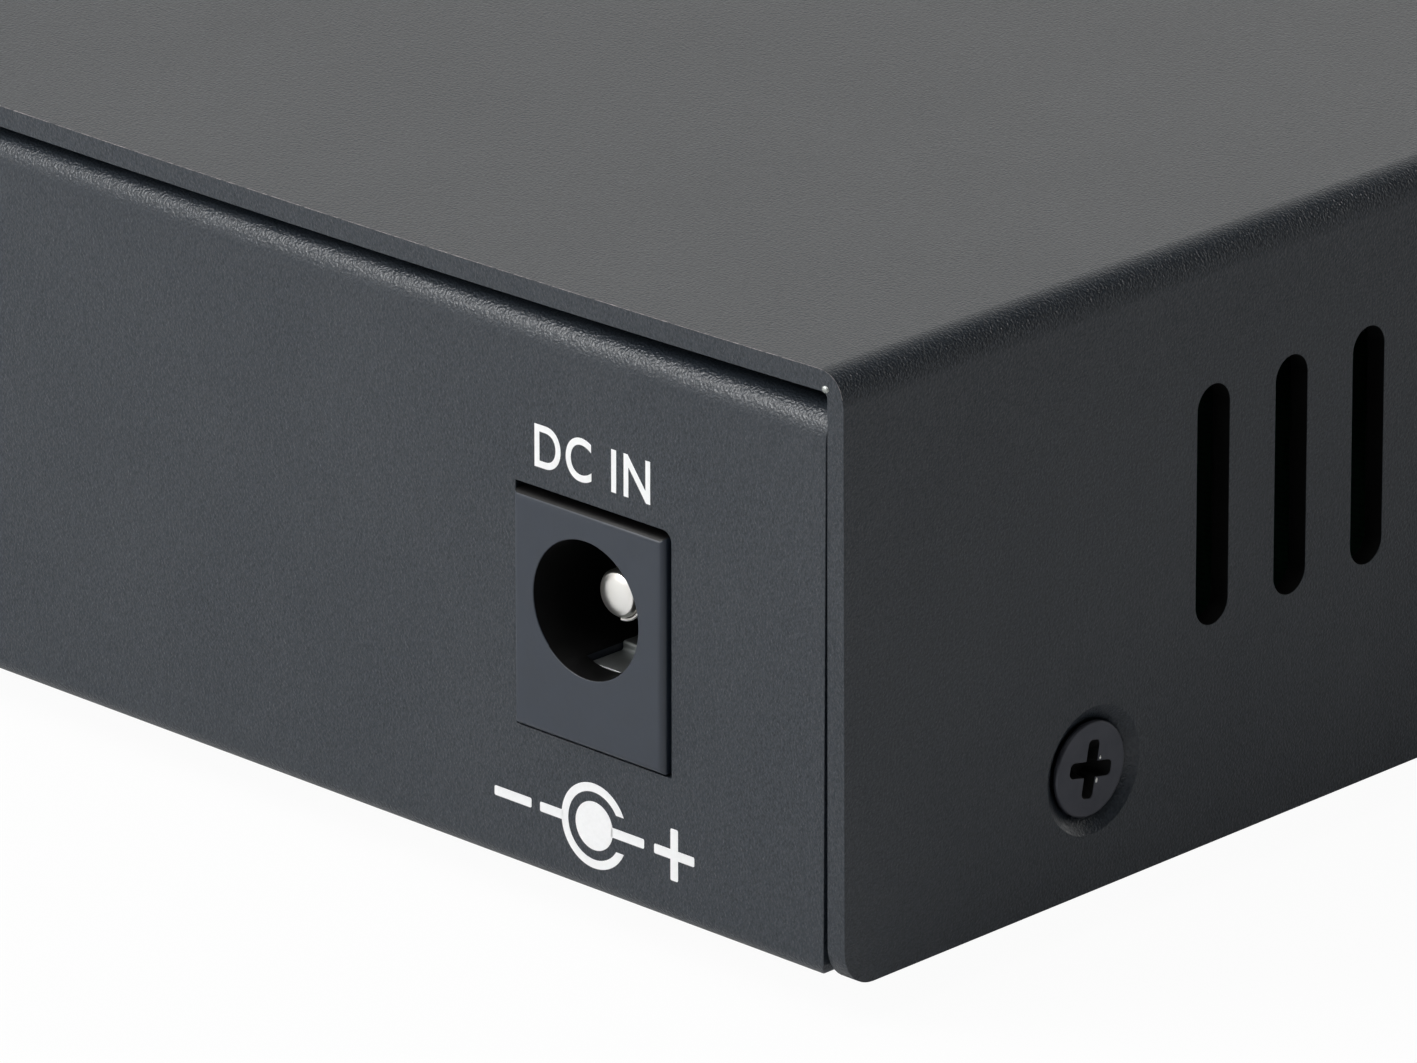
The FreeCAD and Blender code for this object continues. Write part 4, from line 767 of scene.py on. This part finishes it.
def corner_glint_flecks(side, end, turn):
    """Bright metal flecks at two inner corners of the seen cross: a painted highlight where those
    corners glint.
    """
    glint_flecks = []
    for across, up, radius in GLINT_FLECKS:
        glint_fleck = ball("glint_fleck", radius * MM, GLINT_FLECK_SQUASH, 16)
        place = Matrix.Translation(Vector((across, up, 0)) * MM)
        glint_fleck.matrix_world = on_head(head_face(side, end), Vector((side, 0, 0)), turn) @ place
        glint_flecks.append(settle(glint_fleck))
    marks = join("cross_corner_glints", glint_flecks)
    smooth(marks, angle=60)
    piece(marks, bright_pin, "bright_pin")


def make_screws():
    screws = [countersunk_screw(*at, turn) for at, turn in zip(SCREW_PLACES, SCREW_TURNS)]
    screws = join("cover_screw_set", screws)
    bevel(screws, SCREW_EDGE, segments=2, angle=50)
    smooth(screws, angle=40)
    piece(screws, black_screw, "black_screw", "cover_screws")
    # The crosses' walls and bottoms are painted near black: painted shade.
    paint_faces(screws, painted_shade_black, shaded_cross_wall)


make_screws()
# Bright flecks painted as highlights on the seen screw's cross.
corner_glint_flecks(*SCREW_PLACES[0], SCREW_TURNS[0])


# ---- power socket ---------------------------------------------------------------------------

MOULD_EDGE = 0.05 * MM
BORE = 3.2 * MM  # reach of the bore round the pin
BORE_MOUTH = 0.1 * MM  # the bore starts this far behind the socket's face
UPWARD = 0.62  # faces whose normal points up more than this also get the painted shadow of the panel's opening edge
LEAF_EDGE = 0.13 * MM
PIN_END = 0.96 * MM  # radius of the pin's blunt end
PIN_ROD = 1.10 * MM  # its radius behind that
PIN_EDGE = 0.06 * MM
PIN_CROWN = ((0.10, 0.045), (0.22, 0.05), (0.25, 0.025), (0.15, 0.006))  # mm in and mm out
PIN_HELD = 0.3  # share of the socket's length that grips the pin
PIN_RISE = 0.22 * MM  # the gripped pin points up a little towards its tip
LIP_RADIUS = 1.2 * MM
LIP_WIRE = 0.07 * MM  # half of the lip's thickness
LIP_DEPTH = 0.35 * MM  # behind the pin's end
LIP_UP = 0.2 * MM  # its middle above the pin's
LIP_TOP = 0.42 * LIP_RADIUS  # the lip ends this far below its middle
SOFT_TURN = 40  # degrees past which a copy's edges are rounded


def make_blunt(pin):
    """Makes the pin's end broad and blunt, with a low crown and a small round at its rim."""
    for vertex in pin.data.vertices:
        away = vertex.co - pin_axis
        away.y = 0
        if vertex.co.y > pin_high.y - TOUCH:
            vertex.co += away * (PIN_END / away.length - 1)
        elif away.length < PIN_ROOT - 0.1 * MM:
            vertex.co += away * (PIN_ROD / away.length - 1)
    bevel_edges(pin, PIN_EDGE, lambda a, b: min(a.y, b.y) > pin_high.y - TOUCH)
    select_faces(pin, lambda face: face.normal.y > 0.999 and face.center.y > pin_high.y - TOUCH)
    for across, rise in PIN_CROWN:
        bpy.ops.mesh.inset(thickness=across * MM, depth=rise * MM)
    leave_edit()


def make_contact_lip():
    """The bright curved lip of the contact just under the pin's end."""
    deselect()
    bpy.ops.mesh.primitive_torus_add(
        major_radius=LIP_RADIUS,
        minor_radius=LIP_WIRE,
        major_segments=96,
        minor_segments=10,
        location=(pin_axis.x, pin_high.y - LIP_DEPTH, pin_axis.z + LIP_UP),
        rotation=(math.radians(90), 0, 0),
    )
    lip = settle(named(bpy.context.active_object, "contact_lip"))
    top = pin_axis.z + LIP_UP - LIP_TOP
    select_faces(lip, lambda face: face.center.z > top or face.center.x > pin_axis.x)
    bpy.ops.mesh.delete(type="FACE")
    bpy.ops.mesh.select_all(action="SELECT")
    bpy.ops.mesh.fill_holes(sides=12)
    leave_edit()
    smooth(lip, angle=60)
    piece(lip, bright_pin, "bright_pin")


def make_power_pin():
    pin = merged_copy("dc_jack_pin", "power_pin")
    make_blunt(pin)
    root = jack_low.y + PIN_HELD * (jack_high.y - jack_low.y)
    for vertex in pin.data.vertices:
        vertex.co.z += PIN_RISE * max(vertex.co.y - root, 0) / (pin_high.y - root)
    smooth(pin, angle=50)
    piece(pin, bright_pin, "bright_pin", "dc_jack_pin")
    make_contact_lip()


def softened_copy(node_name, name, edge_radius, material, record_slot):
    """A copy of a CAD node with its edges rounded as moulding or stamping leaves them."""
    twin = merged_copy(node_name, name)
    bevel(twin, edge_radius, segments=2, angle=SOFT_TURN)
    smooth(twin, SOFT_TURN)
    return piece(twin, material, record_slot, node_name)


def gets_painted_shade(face):
    """The bore's walls, painted near black as shade, and the socket's faces that point up, painted
    near black as the shadow of the panel's opening edge.
    """
    away = face.center - pin_axis
    behind = face.center.y < jack_high.y - BORE_MOUTH
    return behind and math.hypot(away.x, away.z) < BORE or face.normal.z > UPWARD


socket = softened_copy(
    "dc_jack_housing", "power_socket", MOULD_EDGE, socket_plastic, "black_plastic"
)
# Painted shade in the bore, and a painted shadow on the socket's faces that point up.
paint_faces(socket, painted_bore_shade, gets_painted_shade)
softened_copy("dc_jack_spring", "power_socket_leaf", LEAF_EDGE, leaf_steel, "plain_steel")
make_power_pin()


# ---- printed marks beside the power socket --------------------------------------------------

BACK_FACE = tray_high.y
PRINT_UNDER = 0.01 * MM
PRINT_RISE = 0.012 * MM
CASE_EDGE = cover_low.x  # the marks are set out from this corner
CASE_FOOT = cover_low.z

BAR_CORNER = 0.08 * MM

SIGN_LEVEL = CASE_FOOT + 3.44 * MM
SIGN_X = CASE_EDGE + 14.85 * MM
RING_RADIUS = 1.97 * MM
RING_STROKE = 0.40 * MM
RING_MOUTH = 0.85 * MM  # half the height of its opening
DOT_RADIUS = 1.12 * MM
SIGN_STROKE = 0.45 * MM
BAR_LAP = 0.1 * MM  # how far a bar runs into the ring or the dot
RING_BAR_END = 3.28 * MM  # these are all from the sign's middle
DOT_BAR_END = 3.0 * MM
MINUS_START = 3.80 * MM
MINUS_END = 6.05 * MM
PLUS_MIDDLE = 4.80 * MM
PLUS_SPAN = 2.4 * MM

WORD_LEVEL = CASE_FOOT + 19.1 * MM
WORD_START = CASE_EDGE + 18.35 * MM
WORD_WIDTH = 6.9 * MM
WORD_SIZE = 3.0 * MM  # as typed, before it is fitted to its width and height
WORD_SPACING = 1.12
WORD_THICKENING = 0.035 * MM
CAPITAL = 2.0 * MM  # height


def printed_bar(from_x, to_x, level, stroke):
    """A bar of print along the back face, rounded a little at its corners."""
    bar = rectangular(
        "printed_bar",
        (min(from_x, to_x), BACK_FACE - PRINT_UNDER, level - stroke / 2),
        (max(from_x, to_x), BACK_FACE + PRINT_RISE, level + stroke / 2),
    )
    bevel_edges(bar, BAR_CORNER, lambda a, b: abs(a.y - b.y) > PRINT_RISE)
    return bar


def sign_bar(from_x, to_x):
    """A level bar of the sign, between two distances from the sign's middle."""
    return printed_bar(SIGN_X + from_x, SIGN_X + to_x, SIGN_LEVEL, SIGN_STROKE)


def printed_disc(name, radius, behind=0.0):
    middle = Vector((SIGN_X, BACK_FACE, SIGN_LEVEL))
    rings = [(-PRINT_UNDER - behind, radius), (PRINT_RISE + behind, radius)]
    return turned(name, middle, (0, 1, 0), rings, 64)


def polarity_sign():
    """Ring round a dot, open towards the plus: the pin inside is the positive pole."""
    ring = printed_disc("printed_ring", RING_RADIUS)
    cut_with(ring, printed_disc("ring_inside", RING_RADIUS - RING_STROKE, 0.1 * MM))
    mouth = rectangular(
        "ring_mouth",
        (SIGN_X - 3 * MM, BACK_FACE - MM, SIGN_LEVEL - RING_MOUTH),
        (SIGN_X - 0.5 * MM, BACK_FACE + MM, SIGN_LEVEL + RING_MOUTH),
    )
    cut_with(ring, mouth)
    plus_x = SIGN_X - PLUS_MIDDLE
    plus = united(
        printed_bar(plus_x - SIGN_STROKE / 2, plus_x + SIGN_STROKE / 2, SIGN_LEVEL, PLUS_SPAN),
        printed_bar(plus_x - PLUS_SPAN / 2, plus_x + PLUS_SPAN / 2, SIGN_LEVEL, SIGN_STROKE),
    )
    return [
        ring,
        printed_disc("printed_dot", DOT_RADIUS),
        sign_bar(RING_RADIUS - BAR_LAP, RING_BAR_END),
        sign_bar(BAR_LAP - DOT_RADIUS, -DOT_BAR_END),
        sign_bar(MINUS_START, MINUS_END),
        plus,
    ]


def supply_word():
    """Plain capitals above the socket that say what goes in."""
    deselect()
    bpy.ops.object.text_add(location=(0, 0, 0))
    word = bpy.context.active_object
    word.data.body = "DC IN"
    word.data.size = WORD_SIZE
    word.data.space_character = WORD_SPACING
    word.data.offset = WORD_THICKENING
    word.data.extrude = (PRINT_UNDER + PRINT_RISE) / 2
    bpy.ops.object.convert(target="MESH")
    word = named(bpy.context.active_object, "supply_word")
    word.data.materials.clear()
    low_x = min(vertex.co.x for vertex in word.data.vertices)
    high_x = max(vertex.co.x for vertex in word.data.vertices)
    low_y = min(vertex.co.y for vertex in word.data.vertices)
    high_y = max(vertex.co.y for vertex in word.data.vertices)
    for vertex in word.data.vertices:
        along = (vertex.co.x - low_x) / (high_x - low_x) * WORD_WIDTH
        up = (vertex.co.y - low_y) / (high_y - low_y) * CAPITAL
        out = vertex.co.z - PRINT_UNDER / 2 + PRINT_RISE / 2
        vertex.co = (WORD_START - along, BACK_FACE + out, WORD_LEVEL + up)
    return recalculate_normals(word)


marks = join("printed_marks", [*polarity_sign(), supply_word()])
piece(marks, print_white, "print_white")


# ---- feet, network socket, fibre module and lamps -------------------------------------------

MOULDED = (  # CAD node, piece, radius of its edges in mm, material and record slot
    ("rubber_feet", "soft_feet", 0.25, foot_rubber, "foot_rubber"),
    ("network_jack_shield", "network_shield", 0.06, tin, "tin_shield"),
    ("network_jack_housing", "network_insert", 0.05, socket_plastic, "black_plastic"),
    ("fibre_module_housing", "fibre_module", 0.10, blue_plastic, "blue_plastic"),
    ("fibre_port_hooks", "fibre_hooks", 0.05, blue_plastic, "blue_plastic"),
    ("fibre_ferrule_sleeves", "ferrule_sleeves", 0.08, sleeve_ceramic, "sleeve_ceramic"),
    ("lamp_blocks", "lamp_holders", 0.06, package_epoxy, "black_plastic"),
)
for node_name, name, edge_radius, finish, record_slot in MOULDED:
    softened_copy(node_name, name, edge_radius * MM, finish, record_slot)


# ---- stage, light and camera ----------------------------------------------------------------

FLOOR_SPAN = 6.0
FLOOR_DROP = 0.02 * MM  # below the feet
FLOOR_GREY = (0.77, 0.77, 0.77, 1)
FLOOR_WHITENESS = 0.96
WORLD_FILL = 0.12
FILL_TINT = (0.92, 0.96, 1.0)
BACKDROP_GLOW = 0.835
HORIZON = (1.0, 0.985, 0.95)
CEILING = 0.04
CEILING_TILT = (-0.5, 0.25, 1.0)
LAMPS = (  # name, direction from the object, distance, side and watts
    ("key_light", (0.25, 0.85, 0.46), 0.9, 0.60, 2.65),
    ("edge_light", (0.35, 0.665, 0.66), 0.30, 0.12, 0.46),
    ("front_light", (0.05, -1.0, 0.12), 0.9, 0.30, 1.5),
    ("overhead_light", (-0.1, 0.3, 0.95), 1.0, 0.60, 2.45),
)
CAMERA_STAND = Vector((-332.8, 354.16, 205.93)) * MM  # from the case's lower back corner
CAMERA_DOWN = 20.84  # degrees below level
CAMERA_TURN = 43.9  # degrees from straight ahead at the back face
CAMERA_LENS = 315.72


def plain_floor():
    """Near white to the camera, and a pale matt grey that takes light and shadow."""
    bpy.ops.mesh.primitive_plane_add(size=FLOOR_SPAN, location=(0, 0, -FLOOR_DROP))
    floor = settle(named(bpy.context.active_object, "floor"))
    material, nodes, links = new_material("pale_floor")
    shader = nodes["Principled BSDF"]
    shader.inputs["Roughness"].default_value = 0.9
    shader.inputs["Specular IOR Level"].default_value = 0.0
    shader.inputs["Base Color"].default_value = FLOOR_GREY
    white = nodes.new("ShaderNodeEmission")
    white.inputs["Color"].default_value = (1, 1, 1, 1)
    path = nodes.new("ShaderNodeLightPath")
    seen = nodes.new("ShaderNodeMath")
    seen.operation = "MULTIPLY"
    seen.inputs[1].default_value = FLOOR_WHITENESS
    links.new(path.outputs["Is Camera Ray"], seen.inputs[0])
    mix = nodes.new("ShaderNodeMixShader")
    links.new(seen.outputs[0], mix.inputs["Fac"])
    links.new(shader.outputs["BSDF"], mix.inputs[1])
    links.new(white.outputs["Emission"], mix.inputs[2])
    links.new(mix.outputs["Shader"], nodes["Material Output"].inputs["Surface"])
    paint(floor, material)


def backdrop_light(nodes, colour, strength):
    light = nodes.new("ShaderNodeBackground")
    light.inputs["Color"].default_value = (*colour, 1)
    light.inputs["Strength"].default_value = strength
    return light


def studio_world():
    """White to the camera, a plain dim fill as light, and a lit horizon to gloss and glass."""
    world = bpy.data.worlds.new("studio")
    bpy.context.scene.world = world
    world.use_nodes = True
    nodes, links = world.node_tree.nodes, world.node_tree.links
    nodes.remove(nodes["Background"])
    fill = backdrop_light(nodes, FILL_TINT, WORLD_FILL)
    seen = backdrop_light(nodes, (1, 1, 1), 1.0)
    mirrored = backdrop_light(nodes, (1, 1, 1), BACKDROP_GLOW)

    place = nodes.new("ShaderNodeTexCoord")
    height = nodes.new("ShaderNodeVectorMath")
    height.operation = "DOT_PRODUCT"
    height.inputs[1].default_value = CEILING_TILT
    links.new(place.outputs["Generated"], height.inputs[0])
    sky = ramp(
        nodes, links, height.outputs["Value"], (0.0, HORIZON), (0.12, HORIZON), (0.42, CEILING)
    )
    links.new(sky.outputs["Color"], mirrored.inputs["Color"])

    path = nodes.new("ShaderNodeLightPath")
    gloss = nodes.new("ShaderNodeMath")
    gloss.operation = "MAXIMUM"
    links.new(path.outputs["Is Glossy Ray"], gloss.inputs[0])
    links.new(path.outputs["Is Transmission Ray"], gloss.inputs[1])
    lit = nodes.new("ShaderNodeMixShader")
    links.new(gloss.outputs[0], lit.inputs["Fac"])
    links.new(fill.outputs["Background"], lit.inputs[1])
    links.new(mirrored.outputs["Background"], lit.inputs[2])
    shown = nodes.new("ShaderNodeMixShader")
    links.new(path.outputs["Is Camera Ray"], shown.inputs["Fac"])
    links.new(lit.outputs["Shader"], shown.inputs[1])
    links.new(seen.outputs["Background"], shown.inputs[2])
    links.new(shown.outputs["Shader"], nodes["World Output"].inputs["Surface"])


def soft_box(name, direction, distance, size, watts):
    """A square lamp that stands off the object in a direction and faces it."""
    aim = Vector(direction).normalized()
    middle = (cad_bounds[0] + cad_bounds[1]) / 2
    bpy.ops.object.light_add(type="AREA", location=middle + aim * distance)
    lamp = named(bpy.context.active_object, name)
    lamp.rotation_euler = aim.to_track_quat("Z", "Y").to_euler()
    lamp.data.shape = "SQUARE"
    lamp.data.size = size
    lamp.data.energy = watts


def stand_camera():
    """Looks down at the back corner of the case, close up through a long lens."""
    corner = Vector((cover_low.x, cover_high.y, cover_low.z))
    bpy.ops.object.camera_add(location=corner + CAMERA_STAND)
    camera = bpy.context.active_object
    camera.name = "camera"
    camera.data.lens = CAMERA_LENS
    camera.data.sensor_width = 36.0
    camera.data.clip_start = 0.01
    down, turn = math.radians(90 - CAMERA_DOWN), math.radians(180 + CAMERA_TURN)
    camera.rotation_euler = (down, 0, turn)
    bpy.context.scene.camera = camera


bpy.context.scene.view_settings.view_transform = "Standard"
plain_floor()
studio_world()
for lamp in LAMPS:
    soft_box(*lamp)
stand_camera()
